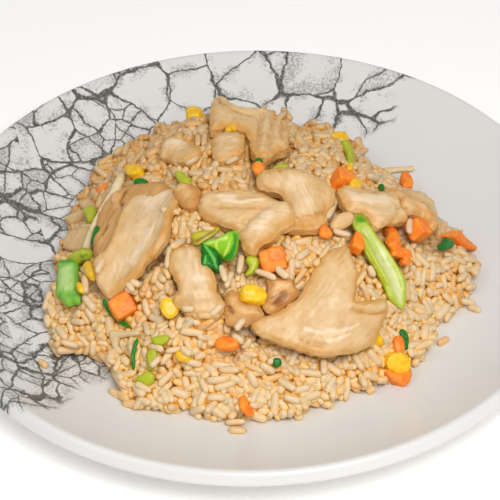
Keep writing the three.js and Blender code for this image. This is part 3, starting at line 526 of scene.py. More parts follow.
# Pieces that lie partly under the rice: the share of their size that shows, and its shift in Y in mm
SUNKEN = {
    "chicken_back_slice_cut": (0.55, 4.0), "carrot_13_cut": (0.5, 3.0), "carrot_14_cut": (0.5, 3.0),
    "carrot_15_cut": (0.5, 3.0), "corn_10_cut": (0.5, 3.0), "corn_06_cut": (0.8, 0.0),
    "chicken_mid_left_cut": (0.9, 2.0), "chicken_back_left_cut": (0.8, 0.0),
    "chicken_back_round_cut": (0.88, 0.0), "chicken_small_centre_cut": (0.84, 0.0),
    "chicken_left_chunk_cut": (0.85, 0.0), "chicken_brown_bit_cut": (0.88, 0.0),
    "chicken_left_under_cut": (0.93, 0.0),
}
DEEP_SHARE = 0.6

# Rice over a piece that shows less than that share, and over another: its height and reach in mm
DEEP_COVER = (4.0, 2.5)
RIM_COVER = (0.9, 0.5)


def clump_maps(rng):
    """Domes with creases between them, about zero on average, and a shade for each dome."""
    warps = [blur(rng.standard_normal(GRID_X.shape), CLUMP_WARP_REACH) for _ in range(2)]
    warped_x, warped_y = (grid + CLUMP_WARP * w / w.std() for grid, w in zip((GRID_X, GRID_Y), warps))
    nearest = np.full(GRID_X.shape, 1e9)
    shade = np.zeros(GRID_X.shape)
    for x, y, own in zip(*rng.uniform(-GRID_REACH, GRID_REACH, (2, CLUMPS)), rng.standard_normal(CLUMPS)):
        distance = np.hypot(warped_x - x, warped_y - y)
        shade = np.where(distance < nearest, own, shade)
        nearest = np.minimum(nearest, distance)
    domes = np.clip(1 - (nearest / CLUMP_RADIUS) ** 2, -1, 1)
    return domes - domes.mean(), shade


def heap_maps(pieces):
    """Heights of the rice, of the toppings that show and of rice over sunken ones; where rice is."""
    rice = cast_down(tree_of(["rice_heap"]))
    topping = cast_down(tree_of_pieces(pieces, SUNKEN))
    free = (rice > NOTHING) & ~(blur((topping > NOTHING).astype(float), FREE_BLUR) > FREE_LIMIT)
    smooth = fill_and_smooth(rice, free)
    over = np.full_like(rice, NOTHING)
    for piece in pieces:
        if piece.name in SUNKEN:
            cover, beyond = DEEP_COVER if SUNKEN[piece.name][0] < DEEP_SHARE else RIM_COVER
            own = widest(cast_down(tree_of_pieces([piece])), beyond)
            over = np.maximum(over, np.where((own > NOTHING) & (topping <= NOTHING), own + cover, NOTHING))
    return smooth, topping, over, blur((rice > NOTHING).astype(float), 1.0) > 0.5


def outline_radius(inside, angle):
    radii = np.arange(OUTLINE_SEARCH_START, GRID_REACH, CELL)
    hits = sample(inside.astype(float), radii * math.cos(angle), radii * math.sin(angle)) > 0.5
    return radii[hits].max() if hits.any() else radii[0]


def core_depth_at(reach):
    """How far the core lies below the heap's surface: less towards its edge."""
    return CORE_DEPTH * (1 - CORE_THINNING * reach**6)


def core_radius(roof, outline, angle):
    """How far out the core goes: as far as the heap is thicker than its loose layer."""
    radii = np.arange(CORE_SEARCH_START, outline(angle) - LOOSE_RIM, CELL)
    x, y = radii * math.cos(angle), radii * math.sin(angle)
    height = sample(roof, x, y) - core_depth_at(radii / outline(angle))
    thin = np.nonzero(height < plate_top(radii) + LEAST_CORE)[0]
    return radii[thin[0]] if len(thin) else radii[-1]


def make_core(surface, outline, material):
    points = [(0, 0, float(sample(surface, 0.0, 0.0)) - CORE_DEPTH)]
    angles = np.linspace(0, 2 * math.pi, CORE_SEGMENTS, endpoint=False)
    rims = np.array([core_radius(surface, outline, angle) for angle in angles])
    rims = sum(np.roll(rims, k) for k in range(-2, 3)) / 5
    for ring in range(1, CORE_RINGS + 1):
        for angle, rim in zip(angles, rims):
            radius = ring / CORE_RINGS * rim
            x, y = radius * math.cos(angle), radius * math.sin(angle)
            lump = CORE_LUMP * noise.noise(Vector((x, y, 0)) * CORE_LUMP_SCALE)
            height = float(sample(surface, x, y)) - core_depth_at(radius / outline(angle)) + lump
            points.append((x, y, max(height, float(plate_top(radius)) + CORE_ABOVE_PLATE)))
    n = CORE_SEGMENTS
    faces = [(0, 1 + k, 1 + (k + 1) % n) for k in range(n)]
    for ring in range(CORE_RINGS - 1):
        for k in range(n):
            a, b = 1 + ring * n + k, 1 + ring * n + (k + 1) % n
            faces.append((a, a + n, b + n, b))
    first_foot = len(points)
    rim = 1 + (CORE_RINGS - 1) * n
    for k in range(n):
        x, y, _ = points[rim + k]
        points.append((x, y, float(plate_top(math.hypot(x, y))) + CORE_FOOT_ABOVE_PLATE))
    points.append((0, 0, FLOOR_Z + CORE_FOOT_ABOVE_PLATE))
    for k in range(n):
        j = (k + 1) % n
        faces.append((rim + k, first_foot + k, first_foot + j, rim + j))
        faces.append((first_foot + k, len(points) - 1, first_foot + j))
    return make_object("rice_depth", points, faces, material)


# Grains are packed as rows of beads that push each other, the toppings and the plate away

GRAIN_LENGTH = (8.7, 1.0)
GRAIN_WIDTH = (3.2, 0.35)
LEAST_WIDTH = 2.4
MOST_WIDTH = 4.0
LAID_WIDTH = 3.0
SHORTEST_GRAIN = 3.6
LONGEST_GRAIN = 10.6
BROKEN_SHARE = 0.15
BROKEN_LENGTHS = (0.5, 0.8)
GRAIN_FLATNESS = 0.88
GRAIN_BLUNTNESS = 3.8
GRAIN_RINGS = 6
RING_CROWDING = 0.78
GRAIN_SIDES = 8
BEADS = 4
BEAD_SHARE = 0.66
PACK_ROUNDS = 44
PAIRS_EVERY = 4
FILLED_SHARE = 0.74
LEAST_LAYER = 0.8
BEND = 0.3
BEND_MIDDLE = 0.4
TAPER = 0.14
LIE_FLAT = 0.35
LIFT_SPREAD = 1.1
EDGE_SPREAD = 0.02
FIRMNESS = 0.55
PAIR_SLACK = 0.9
MOST_PUSH = 1.2
TOPPING_REACH = 7.0
NEAR_TOPPING = 0.0625
NEAR_BLUR = 1.5
ON_TOP_BLUR = 1.0
ON_TOP_COVER = 0.75
ON_TOP_DEPTH = 0.8


def slope_normals(height):
    """Upward unit normals of a height map, as three fields."""
    rise_y, rise_x = np.gradient(height, CELL)
    length = np.sqrt(rise_x**2 + rise_y**2 + 1)
    return np.stack([-rise_x / length, -rise_y / length, 1 / length])


def scatter_grains(surface, floor, inside, rng):
    """Centres, axes, lengths and widths of grains strewn evenly between floor and surface."""
    depth = np.where(inside, np.maximum(surface - floor, LEAST_LAYER), 0.0)
    mean_width = GRAIN_WIDTH[0] * BEAD_SHARE
    body = math.pi / 4 * mean_width**2 * (GRAIN_LENGTH[0] - mean_width / 3) * (1 - BROKEN_SHARE / 3)
    count = int(FILLED_SHARE * depth.sum() * CELL**2 / body)
    picks = rng.choice(depth.size, count, p=depth.ravel() / depth.sum())
    rows, columns = np.unravel_index(picks, depth.shape)
    x = GRID[columns] + rng.uniform(-0.5, 0.5, count) * CELL
    y = GRID[rows] + rng.uniform(-0.5, 0.5, count) * CELL
    z = floor[rows, columns] + rng.random(count) * depth[rows, columns]
    normal = np.stack([sample(field, x, y) for field in slope_normals(surface)], axis=1)
    axes = rng.standard_normal((count, 3))
    axes -= normal * (axes * normal).sum(axis=1)[:, None] * (1 - LIE_FLAT)
    axes /= np.linalg.norm(axes, axis=1)[:, None]
    lengths = rng.normal(*GRAIN_LENGTH, count)
    lengths *= np.where(rng.random(count) < BROKEN_SHARE, rng.uniform(*BROKEN_LENGTHS, count), 1)
    widths = np.clip(rng.normal(*GRAIN_WIDTH, count), LEAST_WIDTH, MOST_WIDTH)
    return np.stack([x, y, z], axis=1), axes, np.clip(lengths, SHORTEST_GRAIN, LONGEST_GRAIN), widths


def close_pairs(points, owner, reach):
    """Index pairs of points of different owners that lie within reach."""
    cells = np.floor((points - points.min(axis=0)) / reach).astype(np.int64) + 1
    span = cells.max(axis=0) + 2
    keys = cells[:, 0] + span[0] * (cells[:, 1] + span[1] * cells[:, 2])
    order = np.argsort(keys, kind="stable")
    keys = keys[order]
    firsts = []
    seconds = []
    steps = [(0, 0, 0), (1, 0, 0)] + [(dx, 1, 0) for dx in (-1, 0, 1)]
    steps += [(dx, dy, 1) for dx in (-1, 0, 1) for dy in (-1, 0, 1)]
    for dx, dy, dz in steps:
        wanted = keys + dx + span[0] * (dy + span[1] * dz)
        start = np.searchsorted(keys, wanted, "left")
        stop = np.searchsorted(keys, wanted, "right")
        for k in range(int((stop - start).max())):
            found = start + k < stop
            firsts.append(order[found])
            seconds.append(order[(start + k)[found]])
    first, second = np.concatenate(firsts), np.concatenate(seconds)
    keep = owner[first] != owner[second]
    first, second = first[keep], second[keep]
    near = ((points[first] - points[second]) ** 2).sum(axis=1) < reach**2
    return first[near], second[near]


def push_apart(points, radii, pairs):
    first, second = pairs
    gap = points[first] - points[second]
    distance = np.linalg.norm(gap, axis=1) + 1e-6
    overlap = np.maximum(0, radii[first] + radii[second] - distance)
    move = gap * (FIRMNESS * 0.5 * overlap / distance)[:, None]
    total = np.zeros_like(points)
    for axis in range(3):
        total[:, axis] = (np.bincount(first, move[:, axis], len(points))
                          - np.bincount(second, move[:, axis], len(points)))
    return points + np.clip(total, -MOST_PUSH, MOST_PUSH)


def push_off(points, radii, tree, near):
    """Moves the points that are near the toppings out of them."""
    for k in np.nonzero(sample(near, points[:, 0], points[:, 1]) > NEAR_TOPPING)[0]:
        place = Vector(points[k])
        hit, normal, _, distance = tree.find_nearest(place, TOPPING_REACH)
        if hit is None:
            continue
        if (place - hit).dot(normal) < 0:
            distance = -distance
        lack = radii[k] - distance
        if lack > 0:
            points[k] += np.array(normal) * min(lack, MOST_PUSH)
    return points


def pack_grains(grains, heap, rng):
    """Lets scattered grains push each other to rest inside the heap's layer."""
    centres, axes, lengths, widths = grains
    count = len(centres)
    spots = np.linspace(-1, 1, BEADS)
    reach = (lengths - widths * BEAD_SHARE) / 2
    beads = centres[:, None] + spots[None, :, None] * (reach[:, None] * axes)[:, None]
    radii = np.repeat(widths / 2 * BEAD_SHARE, BEADS)
    owner = np.repeat(np.arange(count), BEADS)
    lift = np.repeat(rng.normal(0, LIFT_SPREAD, count), BEADS)
    edge = np.repeat(rng.normal(1.0, EDGE_SPREAD, count), BEADS)
    for step in range(PACK_ROUNDS):
        points = beads.reshape(-1, 3)
        if step % PAIRS_EVERY == 0:
            pairs = close_pairs(points, owner, 2 * radii.max() + PAIR_SLACK)
            points = push_off(points, radii, heap["tree"], heap["near"])
        points = push_apart(points, radii, pairs)
        x, y = points[:, 0], points[:, 1]
        normal = np.stack([sample(field, x, y) for field in heap["normals"]], axis=1)
        too_high = points[:, 2] - sample(heap["surface"], x, y) - lift + radii / normal[:, 2]
        points -= normal * (np.maximum(0, too_high) * normal[:, 2])[:, None]
        outside = sample(heap["reach"], x, y) - edge
        radius = np.hypot(x, y)
        inward = np.clip(1 - np.maximum(0, outside) * 0.5, 0, 1)
        points[:, :2] *= inward[:, None]
        too_low = sample(heap["core"], x, y) + radii / normal[:, 2] - points[:, 2]
        points += normal * (np.maximum(0, too_low) * normal[:, 2])[:, None]
        points[:, 2] = np.maximum(points[:, 2], plate_top(radius) + radii)
        beads = points.reshape(count, BEADS, 3)
        centres = beads.mean(axis=1)
        axes = (beads * spots[None, :, None]).sum(axis=1)
        axes /= np.linalg.norm(axes, axis=1)[:, None]
        beads = centres[:, None] + spots[None, :, None] * (reach[:, None] * axes)[:, None]
    return centres, axes, lengths, widths


def widest(field, reach_mm):
    """The highest value within reach of each cell."""
    cells = int(reach_mm / CELL)
    result = field.copy()
    for dr in range(-cells, cells + 1):
        for dc in range(-cells, cells + 1):
            if dr * dr + dc * dc <= cells * cells:
                result = np.maximum(result, np.roll(field, (dr, dc), (0, 1)))
    return result


def grain_template():
    """Unit grain: for each point its place along, its angle round and its share of the radius."""
    rings = np.linspace(-1, 1, GRAIN_RINGS + 1)[1:-1]
    rings = np.sign(rings) * np.abs(rings) ** RING_CROWDING
    angles = np.arange(GRAIN_SIDES) / GRAIN_SIDES * 2 * math.pi
    t = np.concatenate([[-1.0], np.repeat(rings, GRAIN_SIDES), [1.0]])
    a = np.concatenate([[0.0], np.tile(angles, len(rings)), [0.0]])
    share = np.sqrt(np.maximum(0, 1 - np.abs(t) ** GRAIN_BLUNTNESS))
    faces = []
    last = len(t) - 1
    for k in range(GRAIN_SIDES):
        j = (k + 1) % GRAIN_SIDES
        faces.append((0, 1 + j, 1 + k))
        base = 1 + (len(rings) - 1) * GRAIN_SIDES
        faces.append((last, base + k, base + j))
        for ring in range(len(rings) - 1):
            low = 1 + ring * GRAIN_SIDES
            high = low + GRAIN_SIDES
            faces.append((low + k, low + j, high + j))
            faces.append((low + k, high + j, high + k))
    return t, a, share, np.array(faces)


def grain_points(grain, rng, template):
    t, a, share, _ = template
    centre, axis, length, width = grain
    side = np.cross(axis, (0.0, 0.0, 1.0))
    side = side / (np.linalg.norm(side) + 1e-9) if abs(axis[2]) < 0.99 else np.array([1.0, 0.0, 0.0])
    over = np.cross(axis, side)
    roll = rng.uniform(0, math.pi)
    bend = rng.normal(0, BEND)
    bend_way = rng.uniform(0, 2 * math.pi)
    bow = bend * (t * t - BEND_MIDDLE)
    taper = 1 - TAPER * t * rng.uniform(-1, 1)
    across = 0.5 * width * share * taper * np.cos(a)
    rise = 0.5 * width * GRAIN_FLATNESS * share * taper * np.sin(a)
    flat_side = across * math.cos(roll) - rise * math.sin(roll) + bow * math.cos(bend_way)
    flat_over = across * math.sin(roll) + rise * math.cos(roll) + bow * math.sin(bend_way)
    return (centre + np.outer(t * length / 2, axis) + np.outer(flat_side, side)
            + np.outer(flat_over, over))


def make_grains(name, grains, tones, seed, material, template):
    rng = np.random.default_rng(seed)
    faces = template[3]
    size = len(template[0])
    points = np.concatenate([grain_points(g, rng, template) for g in grains])
    steps = np.arange(len(grains)) * size
    triangles = (faces[None, :, :] + steps[:, None, None]).reshape(-1, 3)
    piece = make_object(name, points, triangles.tolist(), material)
    set_attribute(piece.data, "tone", np.repeat(tones, size))
    return piece


# Food pieces shaped from the solids: smoothed, given relief, and told which way their fibres run

def softened(points_mm, faces, voxel_mm, rounds, inflate_mm, subdivide=0):
    """A closed shape remeshed finely, rounded and swelled: points and normals in mm, and faces."""
    mesh = bpy.data.meshes.new("work")
    mesh.from_pydata(np.asarray(points_mm) * MM, [], faces)
    work = bpy.data.objects.new("work", mesh)
    bpy.context.scene.collection.objects.link(work)
    if subdivide:
        surface = work.modifiers.new("surface", "SUBSURF")
        surface.levels = subdivide
    remesh = work.modifiers.new("remesh", "REMESH")
    remesh.mode = "VOXEL"
    remesh.voxel_size = voxel_mm * MM
    if rounds:
        soften = work.modifiers.new("soften", "SMOOTH")
        soften.factor = 0.5
        soften.iterations = rounds
    swell = work.modifiers.new("swell", "DISPLACE")
    swell.mid_level = 0.0
    swell.strength = inflate_mm * MM
    depsgraph = bpy.context.evaluated_depsgraph_get()
    result = bpy.data.meshes.new_from_object(work.evaluated_get(depsgraph))
    bpy.data.objects.remove(work)
    places = read_points(result, "co") / MM
    normals = read_points(result, "normal")
    faces = [tuple(face.vertices) for face in result.polygons]
    bpy.data.meshes.remove(result)
    return places, normals, faces


def read_points(mesh, field):
    values = np.empty(len(mesh.vertices) * 3)
    mesh.vertices.foreach_get(field, values)
    return values.reshape(-1, 3)


def smooth_mesh_from(name, voxel_mm, rounds, inflate_mm, subdivide):
    points, triangles = node_mesh(name)
    return softened(points, triangles, voxel_mm, rounds, inflate_mm, subdivide)


def fibre_axes(out, heading):
    """Axes along and across the fibres, and out of the piece; heading is in degrees from +X."""
    along = np.array([math.cos(math.radians(heading)), math.sin(math.radians(heading)), 0.0])
    along -= out * along.dot(out)
    along /= np.linalg.norm(along)
    return np.array([along, np.cross(out, along), out])


def fibre_frame(points, heading):
    middle = points.mean(axis=0)
    spread = np.linalg.svd(points - middle, full_matrices=False)[2]
    return middle, fibre_axes(spread[2] * (1 if spread[2][2] > 0 else -1), heading)


def relief(local, lumps, fibres, seed):
    """Height of broad lumps and fine fibres at each point, in mm."""
    heights = np.empty(len(local))
    shift = Vector((seed * 7.3, seed * 3.1, seed * 5.7))
    for k, (u, v, w) in enumerate(local):
        broad = noise.noise(Vector((u, v, w)) * 0.11 + shift)
        middling = noise.noise(Vector((u * 0.5, v, w)) * 0.3 + shift)
        bent = v + 1.2 * noise.noise(Vector((u, v, w)) * 0.08 - shift)
        strand = noise.noise(Vector((u * 0.12, bent * 0.95, w * 0.5)) + shift)
        groove = 1 - 2 * abs(noise.noise(Vector((u * 0.07, bent * 0.4, w * 0.25)) - shift))
        dents = noise.noise(Vector((u * 0.4, v * 0.75, w * 0.75)) + shift)
        heights[k] = (lumps * (broad + 0.45 * middling + 0.3 * dents)
                      + fibres * (0.5 * strand - 0.55 * groove**6))
    return heights


# Slices: an outline as the camera sees it, laid on the middle surface of the slice's solid

CURVE_STEPS = 6


def between(a, b, c, d, t):
    """Places on a smooth way from b to c, where a comes before them and d after them."""
    return b + 0.5 * t * (c - a + t * (2 * a - 5 * b + 4 * c - d + t * (3 * b - a - 3 * c + d)))


def closed_curve(corners):
    corners = np.asarray(corners, float)
    t = np.linspace(0, 1, CURVE_STEPS, endpoint=False)[:, None]
    count = len(corners)
    return np.concatenate([between(*(corners[(k + j) % count] for j in (-1, 0, 1, 2)), t)
                           for k in range(count)])


def open_curve(corners):
    corners = np.asarray(corners, float)
    ends = np.concatenate([[2 * corners[0] - corners[1]], corners, [2 * corners[-1] - corners[-2]]])
    spots = np.linspace(1, len(corners), (len(corners) - 1) * CURVE_STEPS + 1)[:-1]
    runs = []
    for spot in spots:
        k = int(spot)
        runs.append(between(ends[k - 1], ends[k], ends[k + 1], ends[min(k + 2, len(ends) - 1)], spot - k))
    return np.array(runs + [corners[-1]])


def sight(pixels):
    """The camera's place in mm, and its ways through points of the photograph's frame."""
    camera = np.array(bpy.context.scene.camera.matrix_world)
    across = (np.asarray(pixels, float) - PHOTO_WIDTH / 2) / FOCAL_PIXELS
    ways = across[..., :1] * camera[:3, 0] - across[..., 1:] * camera[:3, 1] - camera[:3, 2]
    return camera[:3, 3] / MM, ways


def squares_of(u, v):
    return np.stack([np.ones_like(u), u, v, u * u, u * v, v * v], axis=1)


LEAST_FACING = 0.5
SEEN_ROUNDS = 12
MOST_CURVE = 8
STIFF = 60
PLIANT = 0.35
SOFTENING_ROUNDS = 7
RIM_WIDTH = 1.8
SLICE_VOXEL = 0.6
FINE_VOXEL = 0.4
CRUMB_VOXEL = 0.35
SWELL = 0.35
EDGE_HEIGHT = 0.42
EDGE_RISE = 0.58
RAGGED_SCALE = 0.33
RAGGED_SHIFTS = (0.0, 31.0)


class Bed:
    """The middle surface of some points, as a gentle curve over its own flat frame.

    Points that lie nearly edge-on to the camera get a flat bed that is tilted towards it.
    """

    def __init__(self, points, heading, stiffness):
        self.middle, self.axes = fibre_frame(points, heading)
        toward = np.array(bpy.context.scene.camera.matrix_world)[:3, 2]
        out = self.axes[2]
        if out.dot(toward) < LEAST_FACING:
            while out.dot(toward) < LEAST_FACING:
                out = out + 0.1 * toward
                out /= np.linalg.norm(out)
            self.axes = fibre_axes(out, heading)
            self.size, self.fitted = 1.0, np.zeros(6)
            return
        local = (points - self.middle) @ self.axes.T
        size = np.abs(local).max()
        terms = squares_of(local[:, 0] / size, local[:, 1] / size)
        calm = np.diag([0, 0, 0, 1.0, 1.0, 1.0]) * stiffness
        fitted = np.linalg.solve(terms.T @ terms + calm, terms.T @ local[:, 2])
        self.size, self.fitted = size, fitted

    def height(self, u, v):
        return squares_of(np.asarray(u) / self.size, np.asarray(v) / self.size) @ self.fitted

    def seen(self, pixels):
        """Places (u, v) that the camera sees at these points of the photograph's frame."""
        start, ways = sight(pixels)
        ways = ways @ self.axes.T
        start = (start - self.middle) @ self.axes.T
        level = np.zeros(len(ways))
        for _ in range(SEEN_ROUNDS):
            reach = (level - start[2]) / ways[:, 2]
            u = start[0] + reach * ways[:, 0]
            v = start[1] + reach * ways[:, 1]
            level = 0.5 * (level + np.clip(self.height(u, v), -MOST_CURVE, MOST_CURVE))
        return np.stack([u, v], axis=1)

    def place(self, local):
        lifted = local.copy()
        lifted[:, 2] += self.height(local[:, 0], local[:, 1])
        return self.middle + lifted @ self.axes


def distance_to(path, places, closed=False):
    """Shortest way in the plane from each place to a path."""
    starts = path if closed else path[:-1]
    ends = np.roll(path, -1, axis=0) if closed else path[1:]
    best = np.full(len(places), 1e9)
    for a, b in zip(starts, ends):
        along = b - a
        share = np.clip(((places - a) @ along) / (along @ along + 1e-12), 0, 1)
        best = np.minimum(best, np.hypot(*(places - a - share[:, None] * along).T))
    return best


def corner_normals(points, faces):
    """Unit normals at the corners of four-sided faces."""
    a, b, c, d = np.asarray(faces).T
    across = np.cross(points[c] - points[a], points[d] - points[b])
    total = np.zeros_like(points)
    for corners in (a, b, c, d):
        np.add.at(total, corners, across)
    return total / (np.linalg.norm(total, axis=1)[:, None] + 1e-12)


def slice_shape(bed, spec, seed, voxel):
    """Points, faces and shading values of a slice, from its outline and marks.

    A mark's shade is golden or dark below 0 and pale above 0; besides browning and pale streaks, some marks
    paint highlights on ridges and shade in grooves.
    """
    outline = bed.seen(closed_curve(spec["outline"]))
    ragged = [[noise.noise(Vector((x, y, seed * 4.7 + shift)) * RAGGED_SCALE) for shift in RAGGED_SHIFTS]
              for x, y in outline]
    outline += spec.get("ragged", 0.0) * np.array(ragged)
    thick = spec["thick"]
    n = len(outline)
    corners = np.concatenate([np.c_[outline, np.full(n, -thick / 2)], np.c_[outline, np.full(n, thick / 2)]])
    faces = [tuple(range(n - 1, -1, -1)), tuple(range(n, 2 * n))]
    faces += [(k, (k + 1) % n, n + (k + 1) % n, n + k) for k in range(n)]
    if signed_area(outline) < 0:
        faces = [face[::-1] for face in faces]
    local, _, faces = softened(corners, faces, voxel, spec.get("rounds", SOFTENING_ROUNDS), SWELL)
    flat = local[:, :2]
    inward = distance_to(outline, flat, closed=True)
    roll = np.clip(inward / spec.get("roll", 0.6 * thick), 0, 1)
    local[:, 2] *= EDGE_HEIGHT + EDGE_RISE * np.sqrt(1 - (1 - roll) ** 2)
    upper = np.clip(local[:, 2] / (0.25 * thick) + 0.35, 0, 1)
    tone = np.zeros(len(local))
    for path, width, height, shade in spec.get("marks", []):
        near = np.exp(-(distance_to(bed.seen(open_curve(path)), flat) / width) ** 2)
        local[:, 2] += height * near * upper
        # The tone holds browning, pale streaks, painted highlights and painted shade in grooves
        tone += shade * near * upper
    lumps, fibres = spec["relief"]
    outward = corner_normals(bed.place(local), faces) @ bed.axes.T
    local += outward * relief(local, lumps, fibres, seed)[:, None]
    edge = np.exp(-(inward / spec.get("rim", RIM_WIDTH)) ** 2)
    return bed.place(local), faces, local, edge, tone


def make_slices(name, shapes, material):
    """One piece of one or more slice shapes."""
    starts = np.cumsum([0] + [len(shape[0]) for shape in shapes])
    faces = [tuple(v + start for v in face) for shape, start in zip(shapes, starts) for face in shape[1]]
    piece = make_object(name, np.concatenate([shape[0] for shape in shapes]), faces, material)
    set_shading(piece, *(np.concatenate([shape[k] for shape in shapes]) for k in (2, 3, 4)))
    return piece


def bed_on(tree, outline, lift):
    """A flat bed on the surface that the camera sees at the middle of an outline."""
    start, way = sight(np.mean(outline, axis=0))
    hit, normal, _, _ = tree.ray_cast(Vector(start), Vector(way))
    side = normal.cross((0, 0, 1)).normalized()
    up = side.cross(normal)
    corners = [(3, 3), (3, -3), (-3, 3), (-3, -3), (0, 0)]
    points = np.array([hit + normal * lift + side * a + up * b for a, b in corners])
    return Bed(points, SMALL_VIEW["heading"], STIFF)


def make_slice(name, spec, material, seed, voxel=SLICE_VOXEL, bed=None):
    bed = bed or Bed(node_mesh(name)[0], spec["heading"], spec.get("stiffness", PLIANT))
    piece = make_slices(name + "_cut", [slice_shape(bed, spec, seed, voxel)], material)
    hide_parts(name)
    return piece


def signed_area(loop):
    x, y = loop.T
    return 0.5 * (x * np.roll(y, -1) - np.roll(x, -1) * y).sum()


STREAK_MIDDLE = 0.47

# How far the patterns on a slice are stretched along its fibres, across them and out of it
STRAND_STRETCH = (0.09, 0.9, 0.4)
GRAIN_STRETCH = (0.35, 2.6, 1.4)
BLOT_STRETCH = (0.2, 0.5, 0.4)


def slice_material(name, colours, gloss, coat, scatter):
    base, second, pale, deep, edge = (linear(*colour) for colour in colours)
    material, tree, shader = new_material(
        name, Roughness=gloss, Subsurface_Weight=0.4, Subsurface_Scale=0.003,
        Subsurface_Radius=scatter, Coat_Weight=coat, Coat_Roughness=0.2, IOR=1.4)
    fibre = add(tree, "Attribute", {"attribute_name": "fibre"}).outputs["Vector"]
    rim = add(tree, "Attribute", {"attribute_name": "edge"}).outputs["Fac"]
    tone = add(tree, "Attribute", {"attribute_name": "tone"}).outputs["Fac"]
    strands = add(tree, "Mapping", Vector=fibre, Scale=STRAND_STRETCH).outputs[0]
    fine = add(tree, "Mapping", Vector=fibre, Scale=GRAIN_STRETCH).outputs[0]
    streaks = noise_of(tree, strands, 1.0, 3.0, 0.55)
    grain = noise_of(tree, fine, 1.0, 3.0, 0.6)
    patches = noise_of(tree, fibre, 0.13, 2.0)
    blots = add(tree, "Mapping", Vector=fibre, Scale=BLOT_STRETCH).outputs[0]
    mottle = noise_of(tree, blots, 1.0, 3.0, 0.6)
    colour = mix(tree, remap(tree, patches, 0.35, 0.65), base, second)
    # The tone brings the marks: browning, pale streaks, painted highlights and painted shade in grooves
    varied = maths(tree, "ADD", tone, maths(tree, "SUBTRACT", streaks, STREAK_MIDDLE))
    for uneven, share in ((grain, 0.6), (mottle, 1.3)):
        change = maths(tree, "MULTIPLY", maths(tree, "SUBTRACT", uneven, 0.5), share)
        varied = maths(tree, "ADD", varied, change)
    colour = mix(tree, remap(tree, varied, 0.05, 0.9), colour, pale)
    colour = mix(tree, remap(tree, varied, -0.1, -0.9), colour, deep)
    ragged = maths(tree, "MULTIPLY", rim, remap(tree, patches, 0.3, 0.7, 0.45, 1.0))
    colour = mix(tree, ragged, colour, edge)
    tree.links.new(colour, shader.inputs["Base Color"])
    height = maths(tree, "ADD", maths(tree, "MULTIPLY", streaks, 0.7), maths(tree, "MULTIPLY", grain, 0.3))
    bump(tree, shader, height, 0.35, 0.7)
    return material


def make_vegetable(name, material, rounds, rough, seed, subdivide=0, inflate=SWELL):
    points, normals, faces = smooth_mesh_from(name, FINE_VOXEL, rounds, inflate, subdivide)
    middle = points.mean(axis=0)
    spread = np.linalg.svd(points - middle, full_matrices=False)[2]
    local = (points - middle) @ spread.T
    shift = Vector((seed * 3.7, seed * 1.9, seed * 6.1))
    wobble = [rough * (noise.noise(Vector(p) * 0.45 + shift) + 0.4 * noise.noise(Vector(p) * 1.3 - shift))
              for p in points.tolist()]
    points = points + normals * np.array(wobble)[:, None]
    piece = make_object(name + "_cut", points, faces, material)
    set_shading(piece, local, np.zeros(len(local)), np.zeros(len(local)))
    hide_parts(name)
    return piece


CARROT_COLOURS = ((240, 120, 26), (250, 148, 44))
CARROT_PALE = (255, 180, 96)
CORN_COLOURS = ((232, 176, 14), (240, 198, 40))


def carrot_material():
    material, tree, shader = new_material(
        "carrot", Roughness=0.5, Subsurface_Weight=0.35, Subsurface_Scale=0.002,
        Subsurface_Radius=(1.0, 0.35, 0.12), Coat_Weight=0.08, Coat_Roughness=0.2, IOR=1.4)
    place = place_mm(tree)
    patches = noise_of(tree, place, 0.28, 3.0)
    cells = noise_of(tree, place, 2.2, 3.0, 0.6)
    base = blend(tree, remap(tree, patches, 0.35, 0.65), CARROT_COLOURS)
    base = mix(tree, remap(tree, cells, 0.58, 0.78, 0.0, 0.35), base, linear(*CARROT_PALE))
    tree.links.new(base, shader.inputs["Base Color"])
    bump(tree, shader, cells, 0.18, 0.6)
    return material


def corn_material():
    material, tree, shader = new_material(
        "sweetcorn", Roughness=0.42, Subsurface_Weight=0.35, Subsurface_Scale=0.002,
        Subsurface_Radius=(1.0, 0.6, 0.1), Coat_Weight=0.12, Coat_Roughness=0.15, IOR=1.42)
    place = place_mm(tree)
    patches = noise_of(tree, place, 0.3, 2.0)
    base = blend(tree, remap(tree, patches, 0.35, 0.65), CORN_COLOURS)
    tree.links.new(base, shader.inputs["Base Color"])
    bump(tree, shader, noise_of(tree, place, 0.7, 2.0), 0.25, 0.4)
    return material


# Light and floor

LIT_MIDDLE = (0, 0, 0.03)
WARM_WHITE = (1.0, 0.99, 0.98)
WORLD_STRENGTH = 0.42
FLOOR_GLOW = 0.15
FLOOR_SIZE = 6
FLOOR_Z_METRES = -0.0005
FLOOR_COLOURS = ((244, 243, 241), (248, 247, 245))


def make_light(name, place, size, power, colour=(1, 1, 1)):
    data = bpy.data.lights.new(name, "AREA")
    data.shape = "DISK"
    data.size = size
    data.energy = power
    data.color = colour
    lamp = bpy.data.objects.new(name, data)
    bpy.context.scene.collection.objects.link(lamp)
    lamp.location = place
    lamp.rotation_euler = (Vector(LIT_MIDDLE) - Vector(place)).to_track_quat("-Z", "Y").to_euler()


